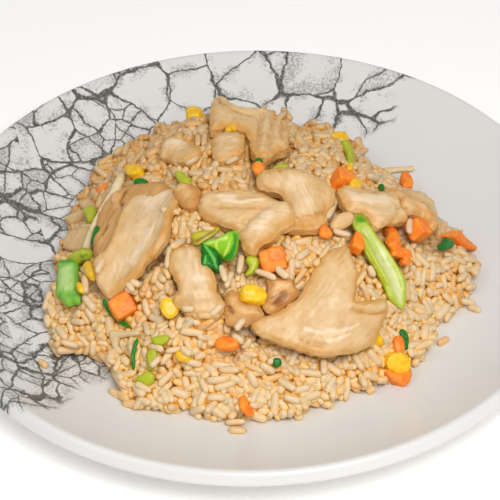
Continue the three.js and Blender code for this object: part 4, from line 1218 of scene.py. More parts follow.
def make_studio():
    world = bpy.data.worlds.new("studio")
    bpy.context.scene.world = world
    world.use_nodes = True
    background = world.node_tree.nodes["Background"]
    background.inputs["Color"].default_value = (*WARM_WHITE, 1)
    background.inputs["Strength"].default_value = WORLD_STRENGTH
    make_light("key", place=(0.16, -0.52, 0.78), size=0.45, power=6.4, colour=WARM_WHITE)
    make_light("fill", place=(-0.5, -0.3, 0.8), size=0.5, power=0.9)
    bpy.ops.mesh.primitive_plane_add(size=FLOOR_SIZE, location=(0, 0, FLOOR_Z_METRES))
    floor = bpy.context.object
    floor.name = "floor"
    material, tree, shader = new_material("floor", Roughness=0.8, Emission_Color=(1, 1, 1, 1),
                                          Emission_Strength=FLOOR_GLOW)
    shade = noise_of(tree, place_mm(tree), 0.01, 2.0)
    tree.links.new(blend(tree, shade, FLOOR_COLOURS), shader.inputs["Base Color"])
    floor.data.materials.append(material)
    bpy.context.scene.view_settings.view_transform = "Standard"


# Slices as the photograph shows them: outline, then marks with width and height in mm and shade

# On some chicken marks the shade is painted light: pale marks on ridges are painted highlights, dark marks
# in grooves are browning with painted shade
CHICKEN = {
    "chicken_front_fin": {
        "heading": 60, "thick": 5.0, "roll": 2.0, "relief": (0.7, 0.4),
        "outline": [(336, 248), (345, 248), (350, 258), (354, 268), (356, 280), (355, 293), (353, 301),
                    (362, 303), (374, 301), (384, 299), (387, 307), (384, 319), (377, 334), (369, 345),
                    (355, 352), (336, 356), (317, 356), (303, 352), (288, 347), (278, 343), (264, 338),
                    (255, 334), (252, 326), (257, 321), (269, 317), (281, 312), (290, 306), (300, 297),
                    (307, 286), (313, 274), (319, 264), (327, 255)],
        "marks": [
            # The next three thin pale marks are painted highlights along ridges
            ([(303, 330), (312, 333), (322, 334)], 0.9, 0.5, 0.8),
            ([(325, 331), (335, 333), (345, 331), (356, 326)], 0.9, 0.55, 0.9),
            ([(325, 343), (335, 341), (347, 337)], 0.8, 0.5, 0.8),
            ([(352, 311), (362, 314), (374, 315), (384, 313)], 0.9, -1.4, -0.9),
            ([(354, 306), (365, 308), (378, 307)], 2.2, 0.9, 0.2),
            ([(300, 340), (310, 345), (322, 347)], 1.3, -0.5, -0.5),
            ([(326, 288), (328, 305), (320, 320)], 7.0, -1.2, 0.3),
            ([(313, 280), (303, 298), (285, 312), (262, 323)], 2.0, 0.7, -0.3),
            ([(340, 252), (338, 262)], 4.0, 0.0, -0.5),
            ([(345, 336), (360, 340)], 6.0, 1.0, -0.1),
        ],
    },
    "chicken_left_slab": {
        "heading": 62, "thick": 4.2, "roll": 1.5, "relief": (0.5, 0.35),
        "outline": [(176, 192), (177, 202), (174, 210), (170, 219), (169, 230), (165, 242), (159, 251),
                    (152, 259), (145, 266), (140, 275), (133, 282), (126, 286), (117, 294), (110, 299),
                    (103, 292), (99, 285), (96, 276), (95, 266), (98, 259), (108, 253), (113, 242),
                    (118, 230), (122, 219), (126, 209), (131, 203), (140, 198), (152, 194), (166, 191)],
        "marks": [
            ([(160, 206), (150, 225), (138, 245), (122, 270)], 6.5, -1.7, 0.3),
            ([(172, 212), (167, 232), (158, 249), (140, 272), (124, 285)], 2.0, 0.7, -0.6),
            ([(150, 195), (131, 205), (122, 222), (115, 242), (106, 258)], 1.4, 0.5, -0.4),
            ([(163, 196), (152, 202)], 4.5, 0.0, 0.8),
            ([(150, 232), (141, 248), (132, 262)], 1.3, 0.3, 0.6),
            ([(157, 222), (149, 240), (143, 252)], 1.0, 0.25, 0.5),
            ([(128, 240), (120, 255)], 2.0, -0.3, -0.3),
        ],
    },
    "chicken_centre": {
        "heading": -6, "thick": 7.2, "roll": 3.6, "relief": (0.8, 0.55),
        "outline": [(201, 219), (200, 208), (202, 199), (210, 195), (229, 194), (245, 192), (259, 196),
                    (269, 198), (282, 204), (291, 207), (296, 215), (295, 224), (289, 228), (282, 232),
                    (279, 238), (271, 243), (264, 247), (260, 253), (256, 258), (249, 256), (243, 248),
                    (239, 241), (236, 234), (227, 229), (213, 224)],
        "marks": [
            ([(226, 205), (240, 207), (255, 205), (268, 203)], 0.9, 0.5, 0.9),
            ([(222, 212), (245, 212), (262, 211)], 1.0, -0.6, -0.5),
            ([(224, 201), (234, 202)], 2.0, 0.2, 0.8),
            ([(242, 233), (249, 225), (257, 218), (266, 212)], 1.7, -1.4, -0.4),
            ([(289, 213), (276, 221), (263, 229), (255, 240), (252, 250)], 4.5, 1.5, 0.3),
            ([(263, 217), (270, 221)], 2.0, 0.3, 0.7),
            # This mark paints a highlight
            ([(253, 233), (264, 232)], 1.4, 0.3, 0.6),
            ([(244, 247), (252, 254)], 4.0, 0.0, -0.7),
            ([(205, 219), (220, 225), (235, 232)], 1.6, 0.2, -0.5),
        ],
    },
    "chicken_arch": {
        "heading": -70, "thick": 8.0, "roll": 4.4, "relief": (0.6, 0.3),
        "outline": [(260, 175), (267, 173), (279, 171), (295, 172), (307, 176), (317, 180), (328, 188),
                    (335, 199), (332, 206), (326, 214), (326, 224), (318, 229), (308, 231), (297, 231),
                    (287, 231), (284, 222), (287, 212), (286, 204), (281, 198), (276, 194), (267, 193),
                    (259, 191), (258, 183)],
        "marks": [
            ([(268, 178), (285, 176), (301, 180)], 2.5, 0.3, -0.6),
            ([(287, 185), (299, 191), (306, 203), (304, 215)], 5.0, 1.3, 0.5),
            ([(281, 177), (283, 184), (280, 192)], 1.3, -0.8, -0.3),
            ([(290, 227), (308, 224), (324, 219)], 1.7, 0.5, -0.9),
            ([(320, 190), (326, 203), (322, 213)], 3.5, -0.5, -0.35),
        ],
    },
    "chicken_right": {
        "heading": 5, "thick": 7.0, "roll": 3.6, "relief": (0.9, 0.45),
        "outline": [(336, 193), (342, 188), (353, 191), (370, 194), (384, 195), (397, 193), (411, 193),
                    (422, 199), (430, 205), (434, 214), (436, 223), (435, 231), (427, 232), (424, 224),
                    (419, 219), (411, 216), (406, 218), (404, 224), (392, 225), (383, 228), (378, 231),
                    (370, 227), (366, 220), (358, 216), (347, 212), (342, 206), (338, 199)],
        "marks": [
            ([(350, 203), (365, 205), (380, 203)], 3.2, 0.6, 1.0),
            ([(396, 202), (398, 210), (403, 214)], 1.2, -1.7, -0.8),
            ([(405, 207), (418, 211), (426, 221), (430, 230)], 3.2, 1.1, -0.5),
            ([(393, 209), (393, 218), (390, 224)], 1.0, -1.0, -0.3),
            ([(355, 196), (380, 199), (405, 198)], 2.2, -0.4, -0.3),
            ([(372, 222), (384, 221)], 3.0, 0.4, 0.3),
        ],
    },
    "chicken_mid_left": {
        "heading": -80, "thick": 7.0, "roll": 3.2, "relief": (1.1, 0.5),
        "outline": [(171, 254), (185, 249), (197, 250), (202, 259), (205, 266), (210, 270), (213, 277),
                    (216, 286), (218, 293), (222, 299), (225, 308), (219, 318), (213, 322), (204, 321),
                    (193, 322), (186, 318), (183, 311), (178, 307), (173, 303), (175, 298), (180, 293),
                    (179, 286), (176, 279), (172, 271), (170, 262)],
        "marks": [
            ([(173, 256), (175, 268), (180, 282)], 2.5, 0.2, -0.6),
            ([(190, 256), (193, 272), (200, 290), (203, 302)], 5.5, 0.9, 0.45),
            ([(181, 305), (195, 304), (213, 301)], 1.8, -1.0, -0.25),
            ([(195, 313), (208, 314)], 4.5, 0.7, -0.2),
            ([(219, 299), (220, 310)], 1.2, -0.9, -0.3),
            ([(196, 281), (201, 281)], 1.2, 0.3, 0.8),
        ],
    },
    "chicken_back_fold": {
        "heading": -80, "thick": 7.5, "roll": 3.6, "relief": (1.0, 0.55),
        "outline": [(213, 104), (218, 101), (227, 105), (236, 112), (248, 114), (260, 115), (271, 117),
                    (277, 125), (286, 127), (288, 140), (287, 150), (276, 155), (266, 162), (258, 160),
                    (252, 152), (248, 141), (242, 135), (230, 131), (220, 132), (212, 133), (210, 122),
                    (211, 113)],
        "marks": [
            ([(262, 121), (258, 138), (257, 152)], 1.3, -1.0, -0.5),
            ([(272, 124), (270, 140), (267, 154)], 1.3, -1.0, -0.5),
            ([(281, 130), (280, 146)], 1.3, -1.0, -0.6),
            ([(266, 122), (264, 140), (262, 155)], 1.6, 0.6, 0.3),
            ([(276, 127), (275, 148)], 1.6, 0.6, 0.2),
            ([(217, 104), (222, 112), (234, 120), (250, 124)], 1.3, -1.0, -0.6),
            ([(226, 116), (245, 119), (258, 119)], 3.0, 0.8, 0.1),
        ],
    },
    "chicken_left_under": {
        "heading": 60, "thick": 5.0, "relief": (0.9, 0.35), "brown": True,
        "outline": [(98, 258), (96, 242), (98, 226), (101, 216), (107, 206), (117, 196), (127, 191),
                    (136, 186), (152, 185), (166, 186), (170, 191), (160, 200), (142, 208), (134, 218),
                    (128, 234), (120, 250), (108, 262)],
        "marks": [
            ([(118, 200), (122, 212), (112, 226)], 2.0, 0.8, 0.4),
            ([(128, 196), (124, 206), (128, 212)], 1.2, -1.0, -0.8),
            ([(106, 238), (112, 226), (120, 214)], 1.6, -0.9, -0.9),
            ([(103, 248), (108, 236)], 1.5, 0.4, 0.3),
        ],
    },
    "chicken_back_round": {
        "stiffness": STIFF, "heading": 10, "thick": 8.0, "roll": 6.0, "relief": (1.0, 0.35),
        "outline": [(214, 152), (216, 143), (222, 137), (231, 135), (240, 139), (244, 146), (242, 155),
                    (236, 160), (224, 163), (216, 161)],
        "marks": [([(222, 144), (232, 146)], 4.0, 0.8, 0.3)],
    },
    "chicken_back_left": {
        "stiffness": STIFF, "heading": 20, "thick": 7.0, "roll": 5.5, "relief": (1.3, 0.5),
        "outline": [(162, 151), (168, 143), (178, 141), (188, 145), (197, 150), (200, 157), (190, 164),
                    (178, 164), (168, 161), (162, 157)],
        "marks": [([(172, 149), (182, 151)], 3.5, 0.7, 0.8)],
    },
    "chicken_left_chunk": {
        "stiffness": STIFF, "heading": 40, "thick": 6.5, "relief": (0.7, 0.3), "brown": True,
        "outline": [(177, 193), (184, 188), (192, 188), (200, 193), (202, 200), (197, 208), (188, 211),
                    (180, 207), (176, 200)],
        "marks": [([(184, 193), (192, 199)], 2.5, 0.6, 0.5)],
    },
    "chicken_small_centre": {
        "stiffness": STIFF, "heading": -20, "thick": 7.0, "relief": (0.7, 0.2), "brown": True,
        "outline": [(226, 298), (232, 293), (239, 297), (244, 304), (251, 305), (258, 307), (262, 311),
                    (265, 317), (259, 320), (252, 322), (246, 328), (237, 328), (230, 326), (226, 321),
                    (224, 314), (224, 306)],
        "marks": [
            ([(232, 302), (240, 310), (252, 315)], 4.0, 0.9, 0.3),
            ([(231, 311), (234, 315)], 1.6, -0.3, -0.9),
            ([(226, 300), (228, 306)], 1.6, 0.0, -0.6),
        ],
    },
    "chicken_brown_bit": {
        "stiffness": STIFF, "heading": 30, "thick": 7.0, "relief": (0.8, 0.3), "brown": True,
        "outline": [(267, 279), (277, 279), (289, 280), (292, 286), (297, 292), (296, 298), (289, 303),
                    (282, 308), (275, 313), (268, 314), (264, 308), (266, 302), (268, 297), (267, 288)],
        "marks": [
            ([(276, 304), (284, 298)], 3.0, -0.8, -0.8),
            ([(277, 288), (287, 289)], 3.5, 0.6, 0.4),
        ],
    },
}

GREENS = {
    "stalk_right_long": {
        "look": "stalk", "slot": "stalk", "heading": -60, "thick": 3.6, "relief": (0.2, 0.12), "rim": 1.3,
        "outline": [(352, 217), (363, 216), (368, 225), (375, 237), (384, 248), (392, 260), (399, 271),
                    (404, 280), (405, 294), (403, 308), (397, 305), (389, 298), (385, 287), (378, 274),
                    (370, 261), (364, 249), (359, 235), (353, 225)],
        "marks": [
            ([(364, 232), (376, 250), (388, 270), (396, 290), (399, 304)], 2.4, -1.3, 0.5),
            ([(353, 219), (362, 219)], 2.6, 0.0, -1.6),
            ([(370, 229), (384, 250), (396, 270), (403, 290)], 1.0, 0.5, 0.1),
            ([(361, 238), (372, 260), (386, 284)], 1.0, 0.6, -0.3),
        ],
    },
    "stalk_left_broad": {
        "look": "stalk_left", "slot": "stalk", "heading": 85, "thick": 3.6, "relief": (0.25, 0.15),
        "rim": 1.0,
        "outline": [(60, 265), (67, 262), (77, 262), (78, 269), (78, 279), (79, 290), (80, 302), (73, 303),
                    (67, 305), (63, 301), (62, 296), (58, 296), (58, 289), (59, 276)],
        "marks": [
            ([(68, 274), (69, 286), (70, 292)], 3.0, 0.8, 0.9),
            ([(61, 265), (70, 264), (77, 264)], 1.8, 0.0, -1.3),
            ([(70, 299), (76, 300)], 2.0, 0.0, -0.4),
        ],
    },
    "stalk_left_arched": {
        "look": "lime", "slot": "stalk", "heading": 40, "thick": 3.0, "relief": (0.25, 0.15), "rim": 0.9,
        "outline": [(70, 258), (76, 252), (84, 249), (92, 251), (93, 255), (89, 259), (82, 260), (78, 263),
                    (71, 262)],
        "marks": [([(75, 256), (86, 253)], 1.2, 0.5, 0.4), ([(84, 258), (90, 256)], 0.9, -0.4, -0.8)],
    },
    "leaf_centre_light": {
        "look": "leaf_light", "slot": "stalk", "heading": 60, "thick": 1.9, "relief": (0.35, 0.15),
        "rim": 0.5, "rounds": 4, "roll": 1.2,
        "outline": [(231, 232), (238, 232), (238, 240), (236, 251), (232, 259), (225, 260), (221, 257),
                    (217, 252), (212, 249), (202, 245), (209, 241), (217, 239), (224, 235)],
        "marks": [
            ([(203, 244), (212, 241), (219, 238), (226, 238)], 1.0, 0.5, 1.1),
            ([(217, 240), (216, 246), (219, 253)], 0.5, 0.3, 0.9),
            ([(229, 244), (226, 252), (223, 258)], 0.5, 0.35, 0.9),
            ([(236, 235), (235, 246), (231, 257)], 1.3, -0.6, -1.2),
            ([(224, 258), (229, 257)], 1.0, 0.0, -1.2),
            ([(226, 238), (222, 248)], 2.2, 0.5, 0.0),
        ],
    },
    "leaf_centre_dark": {
        "look": "leaf", "slot": "leaf", "heading": -60, "thick": 1.8, "relief": (0.35, 0.15),
        "rim": 0.5, "rounds": 4, "roll": 1.2,
        "outline": [(202, 245), (209, 247), (215, 251), (219, 256), (221, 262), (222, 270), (218, 272),
                    (214, 269), (208, 267), (202, 266), (202, 255)],
        "marks": [
            ([(204, 247), (209, 254), (214, 261)], 0.6, 0.4, 1.0),
            ([(205, 258), (204, 264)], 0.5, 0.3, 1.0),
            ([(214, 262), (216, 269)], 0.5, 0.3, 0.6),
            ([(218, 258), (220, 267)], 0.9, -0.4, -0.9),
        ],
    },
    "leaf_centre_yellow": {
        "look": "leaf_yellow", "slot": "stalk", "heading": 30, "thick": 1.6, "relief": (0.3, 0.12),
        "rim": 0.5, "rounds": 4, "roll": 1.2,
        "outline": [(194, 240), (192, 237), (196, 233), (204, 232), (213, 231), (217, 228), (219, 229),
                    (214, 234), (209, 238), (202, 242), (198, 245), (195, 244)],
        "marks": [([(197, 242), (206, 237), (216, 230)], 0.8, -0.6, -1.0)],
    },
}

# Colours of each look: two of its own, then where it is pale, deep and at its edge
LOOKS = {
    "stalk": [(174, 192, 62), (190, 202, 96), (217, 217, 164), (82, 146, 20), (174, 182, 28)],
    "stalk_left": [(134, 192, 70), (150, 204, 84), (192, 224, 142), (76, 160, 48), (120, 180, 52)],
    "lime": [(174, 182, 30), (190, 194, 40), (206, 206, 80), (112, 142, 12), (160, 168, 26)],
    "leaf_light": [(136, 192, 16), (148, 200, 22), (192, 220, 100), (40, 140, 22), (108, 178, 20)],
    "leaf": [(8, 112, 14), (14, 126, 20), (96, 180, 70), (4, 62, 12), (14, 96, 18)],
    "leaf_yellow": [(184, 176, 34), (194, 182, 46), (208, 196, 70), (152, 116, 26), (174, 166, 30)],
    "flake": [(222, 186, 134), (212, 174, 120), (238, 212, 172), (186, 134, 76), (206, 158, 100)],
    "strand": [(220, 196, 150), (228, 208, 168), (240, 226, 196), (190, 156, 104), (214, 186, 138)],
}
# The pale and deep colours also show the marks' painted highlights and painted shade in grooves
MEAT = [(219, 186, 137), (211, 174, 120), (231, 205, 171), (194, 135, 62), (206, 152, 76)]
BROWNED_MEAT = [(211, 164, 100), (200, 149, 84), (229, 190, 136), (142, 84, 34), (189, 130, 64)]
GREEN_SKIN = {"gloss": 0.42, "coat": 0.08, "scatter": (0.5, 1.0, 0.2)}
MEAT_SKIN = {"gloss": 0.5, "coat": 0.14, "scatter": (1.0, 0.6, 0.35)}

# Small vegetables that show: look, thickness in mm and outline
SMALL = {
    "carrot_05": ("carrot", 5.0, [(384, 230), (389, 229), (394, 231), (398, 237), (400, 243), (397, 248),
                                  (391, 249), (387, 246), (388, 240), (388, 235)]),
    "carrot_06": ("carrot", 4.0, [(390, 255), (396, 249), (404, 250), (409, 254), (408, 260), (406, 264),
                                  (402, 264), (402, 258), (397, 257)]),
    "carrot_08": ("carrot", 3.6, [(444, 236), (449, 233), (457, 232), (465, 240), (473, 247), (472, 250),
                                  (466, 249), (459, 245), (454, 239), (450, 238)]),
    "carrot_09": ("carrot", 5.0, [(385, 372), (392, 374), (399, 374), (405, 370), (409, 373), (408, 380),
                                  (403, 386), (397, 383), (389, 378)]),
    "carrot_10": ("carrot", 1.8, [(241, 398), (244, 397), (247, 404), (251, 410), (253, 415), (250, 416),
                                  (245, 412), (241, 406)]),
    "carrot_11": ("carrot", 3.6, [(217, 344), (222, 340), (232, 339), (238, 342), (236, 347), (226, 349),
                                  (218, 348)]),
    "carrot_12": ("carrot", 4.5, [(402, 176), (407, 176), (411, 182), (411, 188), (403, 188), (401, 181)]),
    "corn_02": ("corn", 6.0, [(386, 363), (389, 356), (395, 353), (402, 353), (407, 358), (408, 366),
                              (404, 372), (397, 374), (390, 371)]),
    "corn_03": ("corn", 5.0, [(161, 304), (165, 299), (172, 301), (178, 308), (176, 315), (169, 318),
                              (163, 312)]),
    "corn_04": ("corn", 4.0, [(86, 268), (90, 264), (94, 268), (96, 275), (91, 278), (87, 274)]),
    "corn_05": ("corn", 2.4, [(226, 128), (233, 126), (243, 127), (247, 129), (247, 137), (243, 138),
                              (240, 132), (233, 131), (228, 133)]),
    "corn_06": ("corn", 5.0, [(187, 114), (190, 111), (198, 111), (202, 114), (201, 120), (195, 121),
                              (189, 121)]),
    "corn_07": ("corn", 4.0, [(127, 171), (133, 167), (140, 168), (142, 172), (137, 176), (130, 176)]),
    "corn_08": ("corn", 4.0, [(331, 137), (337, 134), (344, 135), (347, 140), (344, 145), (337, 142)]),
    "corn_09": ("corn", 3.5, [(370, 339), (376, 336), (382, 338), (381, 343), (374, 344)]),
    "leaf_right_dark": ("leaf", 1.8, [(439, 246), (443, 242), (445, 239), (449, 240), (453, 244),
                                      (450, 248), (444, 249), (440, 248)]),
    "leaf_back_dark": ("leaf", 2.4, [(135, 182), (140, 179), (146, 181), (148, 184), (143, 187),
                                     (137, 186)]),
    "stalk_back_bit": ("lime", 3.0, [(176, 174), (182, 174), (187, 178), (191, 182), (193, 190), (189, 193),
                                     (184, 187), (179, 181)]),
    "stalk_back_strip": ("lime", 2.4, [(342, 143), (348, 142), (352, 148), (353, 158), (352, 167),
                                       (348, 165), (347, 156), (344, 149)]),
    "stalk_centre_back": ("lime", 2.0, [(273, 169), (278, 166), (284, 165), (288, 167), (284, 171),
                                        (277, 172)]),
    "stalk_centre_front": ("lime", 2.4, [(247, 258), (253, 257), (258, 260), (257, 267), (254, 272),
                                         (248, 276), (246, 274), (250, 268), (248, 263)]),
    "stalk_front_left": ("lime", 2.6, [(136, 379), (141, 376), (147, 372), (153, 375), (153, 382),
                                       (147, 385), (142, 382)]),
}

# Flakes and crumbs on the heap: look, thickness, lift in mm, then their outlines
CRUMBS = [
    ("flake", 1.5, 0.5, [[(71, 232), (78, 229), (88, 228), (89, 237), (93, 245), (89, 251), (81, 251),
                          (74, 251), (65, 248), (65, 240)],
                         [(66, 219), (75, 213), (83, 211), (85, 215), (80, 221), (71, 224)],
                         [(54, 258), (62, 253), (70, 252), (71, 256), (62, 261), (54, 262)],
                         [(80, 202), (88, 200), (95, 204), (93, 209), (84, 209)],
                         [(116, 150), (124, 147), (133, 146), (137, 150), (128, 155), (118, 156)]]),
    ("lime", 1.8, 0.9, [[(85, 210), (90, 207), (95, 209), (95, 215), (92, 220), (89, 222), (87, 217),
                         (84, 214)],
                        [(153, 339), (158, 337), (167, 336), (167, 341), (161, 345), (155, 344)],
                        [(148, 353), (154, 350), (156, 356), (155, 364), (150, 370), (148, 361)]]),
    ("leaf", 1.3, 0.8, [[(97, 226), (99, 229), (97, 236), (94, 243), (92, 242), (93, 236), (95, 229)],
                        [(401, 330), (405, 332), (408, 340), (407, 349), (404, 348), (404, 340), (401, 335)],
                        [(379, 186), (382, 185), (384, 188), (381, 190)],
                        [(273, 360), (279, 359), (281, 364), (275, 367)],
                        [(256, 160), (260, 159), (262, 162), (257, 164)]]),
    ("corn", 2.6, 0.8, [[(79, 283), (83, 286), (83, 292), (80, 292), (78, 287)],
                        [(177, 353), (183, 350), (189, 353), (188, 361), (179, 360)],
                        [(351, 182), (355, 179), (360, 183), (359, 188), (353, 188)],
                        [(347, 165), (352, 165), (352, 170), (348, 170)]]),
    ("carrot", 2.6, 0.8, [[(253, 166), (258, 163), (264, 166), (263, 172), (258, 174), (254, 171)],
                          [(321, 235), (323, 226), (328, 229), (331, 235), (326, 238)],
                          [(395, 340), (400, 337), (403, 345), (402, 354), (397, 353)],
                          [(98, 190), (103, 186), (108, 184), (107, 189), (100, 193)]]),
    ("strand", 1.8, 0.7, [[(111, 331), (120, 332), (137, 331), (138, 335), (128, 336), (119, 338),
                           (118, 345), (122, 352), (118, 354), (113, 344)]]),
    ("strand", 1.2, 0.9, [[(384, 169), (398, 168), (412, 167), (412, 170), (398, 171), (385, 173)]]),
    ("flake", 2.6, 0.4, [[(331, 224), (336, 217), (342, 214), (349, 213), (353, 216), (352, 222),
                          (346, 227), (338, 230), (332, 229)]]),
]

# Grains that lie on the toppings and on the plate, from end to end
LAID_GRAINS = [
    ((161, 212), (180, 215)), ((410, 222), (409, 236)), ((336, 202), (327, 221)), ((167, 271), (170, 249)),
    ((185, 243), (171, 250)), ((127, 286), (134, 294)), ((131, 283), (140, 288)), ((126, 291), (137, 296)),
    ((85, 278), (86, 295)), ((255, 273), (276, 281)), ((276, 270), (288, 280)), ((333, 233), (350, 238)),
    ((221, 268), (226, 284)), ((242, 258), (239, 276)), ((232, 275), (226, 290)), ((211, 318), (222, 308)),
    ((186, 322), (200, 326)), ((244, 322), (236, 332)), ((198, 160), (186, 167)), ((238, 160), (226, 166)),
    ((458, 283), (466, 276)), ((466, 291), (475, 288)), ((461, 303), (475, 306)), ((468, 309), (480, 313)),
    ((438, 346), (448, 341)), ((50, 343), (60, 359)), ((40, 363), (47, 369)), ((229, 432), (246, 433)),
    ((226, 425), (245, 424)), ((284, 399), (300, 404)), ((134, 411), (144, 400)), ((110, 392), (120, 399)),
    ((150, 349), (163, 352)), ((160, 360), (151, 369)), ((233, 337), (243, 345)),
    ((181, 350), (191, 357)), ((104, 262), (97, 275)), ((268, 365), (281, 359)),
]
SMALL_VIEW = {"heading": 20, "relief": (0.2, 0.1), "rim": 0.8, "rounds": 2, "roll": 0.9}
SIGHT_START = 640.0
SIGHT_END = 940.0
SIGHT_STEP = 0.2
CRUMB_BED_REACH = 3
CRUMB_BED_BLUR = 1.5
DICE_ROUGH = 0.18
STALK_ROUGH = 0.15
SPROUT_SWELL = 0.8
HIDDEN_SWELL = 0.4
HIDDEN_ROUNDS = 8
HIDDEN_EDGE = 0.6
ON_CHICKEN = "corn_05"
LAID_LIFT = 1.4
LAID_MOST_FALL = -1.5
LAID_MOST_RISE = 4.0
LAID_EXTRA_LENGTH = 1.0
GREENS_SEED = 30
SMALL_SEED = 50
GRAIN_SEED = 60
CRUMB_SEED = 90
RICE_SEED = 21


def make_looks():
    """Materials for every look, by name."""
    looks = {"carrot": carrot_material(), "corn": corn_material()}
    for look, colours in LOOKS.items():
        looks[look] = slice_material(look, colours, **GREEN_SKIN)
    looks["chicken"] = slice_material("chicken", MEAT, **MEAT_SKIN)
    looks["chicken_brown"] = slice_material("chicken_browned", BROWNED_MEAT, **MEAT_SKIN)
    return looks


def make_toppings(looks):
    pieces = []
    for seed, (name, spec) in enumerate(CHICKEN.items()):
        look = "chicken_brown" if spec.get("brown", False) else "chicken"
        spec = dict({"ragged": 0.9, "rounds": 5}, **spec)
        pieces.append(make_slice(name, spec, looks[look], seed))
    for seed, (name, spec) in enumerate(GREENS.items()):
        pieces.append(make_slice(name, spec, looks[spec["look"]], GREENS_SEED + seed,
                                 FINE_VOXEL))
    chicken = tree_of_pieces(pieces)
    for seed, (name, (look, thick, outline)) in enumerate(SMALL.items()):
        spec = dict(SMALL_VIEW, outline=outline, thick=thick, stiffness=STIFF)
        bed = bed_on(chicken, outline, 0.3 * thick + 0.9) if name == ON_CHICKEN else None
        pieces.append(make_slice(name, spec, looks[look], SMALL_SEED + seed,
                                 FINE_VOXEL, bed))
    for seed, name in enumerate(TOPPINGS):
        kind = name.split("_")[0]
        if name in CHICKEN or name in GREENS or name in SMALL:
            continue
        if kind == "chicken":
            pieces.append(make_hidden_slice(name, CHICKEN["chicken_back_fold"], looks["chicken"], seed))
        elif kind in ("carrot", "corn"):
            rounds = 1 if kind == "carrot" else 3
            pieces.append(make_vegetable(name, looks[kind], rounds, DICE_ROUGH, seed))
        else:
            look = {"sprout": "strand", "herb": "leaf", "stalk": "lime", "leaf": "leaf"}[kind]
            swell = SPROUT_SWELL if kind == "sprout" else SWELL
            pieces.append(make_vegetable(name, looks[look], 3, STALK_ROUGH,
                                         seed, 1, swell))
    return pieces


def sight_line(pixel):
    """Places in mm, SIGHT_STEP apart, that lie behind a point of the photograph's frame."""
    start, way = sight(pixel)
    return start + np.arange(SIGHT_START, SIGHT_END, SIGHT_STEP)[:, None] * way


def seen_on(ground, pixel):
    """The place on a height map that the camera sees at a point of the photograph's frame."""
    spots = sight_line(pixel)
    return spots[np.argmax(spots[:, 2] < sample(ground, spots[:, 0], spots[:, 1]))]


def make_crumbs(ground, looks):
    soft = blur(ground, CRUMB_BED_BLUR)
    offsets = np.linspace(-CRUMB_BED_REACH, CRUMB_BED_REACH, 5)
    dx, dy = (d.ravel() for d in np.meshgrid(offsets, offsets))
    pieces = []
    for number, (look, thick, lift, outlines) in enumerate(CRUMBS):
        shapes = []
        for seed, outline in enumerate(outlines):
            x, y, _ = seen_on(ground, np.mean(outline, axis=0))
            patch = np.stack([x + dx, y + dy, sample(soft, x + dx, y + dy) + lift + thick / 2], axis=1)
            spec = dict(SMALL_VIEW, outline=outline, thick=thick, rounds=3, roll=0.5 * thick)
            bed = Bed(patch, spec["heading"], STIFF)
            shapes.append(slice_shape(bed, spec, CRUMB_SEED + seed, CRUMB_VOXEL))
        pieces.append(make_slices(f"crumbs_{look}_{number}", shapes, looks[look]))
    return pieces


def laid_grains(ground):
    grains = []
    for start, end in LAID_GRAINS:
        a, b = seen_on(ground, start), seen_on(ground, end)
        level = a[2] + np.clip(b[2] - a[2], LAID_MOST_FALL, LAID_MOST_RISE)
        spots = sight_line(end)
        b = spots[np.argmax(spots[:, 2] < level)]
        length = np.linalg.norm(b - a)
        grains.append(((a + b) / 2 + (0, 0, LAID_LIFT), (b - a) / length, length + LAID_EXTRA_LENGTH,
                       LAID_WIDTH))
    return grains


def make_hidden_slice(name, spec, material, seed):
    """A slice that the photograph doesn't show, shaped from its solid like the ones that show."""
    points, normals, faces = smooth_mesh_from(name, SLICE_VOXEL, HIDDEN_ROUNDS, HIDDEN_SWELL, 0)
    middle, axes = fibre_frame(points, spec["heading"])
    local = (points - middle) @ axes.T
    lumps, fibres = spec["relief"]
    points = points + normals * relief(local, lumps, fibres, seed)[:, None]
    piece = make_object(name + "_cut", points, faces, material)
    set_shading(piece, local, np.clip(HIDDEN_EDGE - normals @ axes[2], 0, 1), np.zeros(len(local)))
    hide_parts(name)
    return piece


# Tones of the grains, from 0, deep, to 1, pale: the middle, and what changes it

TONE_MIDDLE = 0.62
TONE_SPREAD = 0.15
# Painted shade: grains buried below the lid and grains towards the back are darker
SUNK_PAINTED_SHADE = 0.1
TONE_SUNK_FROM = 1.2
TONE_SUNK_LIMITS = (-1, 4)
TONE_CLUMP = 0.11
TONE_RIGHT = 0.0008
BACK_PAINTED_SHADE = -0.003
TONE_LAID = 0.15
TONE_MIXING = 0.1
# Four kinds of one rice, deep to pale, filled by grain tone: random tone together with painted shade
RICE_KINDS = [
    ("rice_amber", ((223, 167, 103), (233, 187, 127))),
    ("rice_golden", ((229, 178, 117), (236, 194, 136))),
    ("rice_cream", ((229, 186, 130), (234, 199, 147))),
    ("rice_pale", ((229, 191, 142), (233, 202, 158))),
]


def rice_lid(surface, topping, over, domes, rng):
    """How high the loose rice lies, and the surface that the core keeps below."""
    uneven = blur(rng.standard_normal(surface.shape), UNEVEN_REACH)
    lid = surface + CLUMP_HEIGHT * domes + UNEVEN_HEIGHT * uneven / uneven.std() + LID_RISE
    lid = np.where(topping > NOTHING, np.minimum(lid, topping - TOPPING_SHOWS), lid)
    for reach_mm, below in RIM_SHOWS:
        beside = widest(topping, reach_mm)
        lid = np.where((topping <= NOTHING) & (beside > NOTHING), np.minimum(lid, beside - below), lid)
    return np.maximum(lid, over), np.minimum(surface, -widest(-lid, ROOF_REACH))


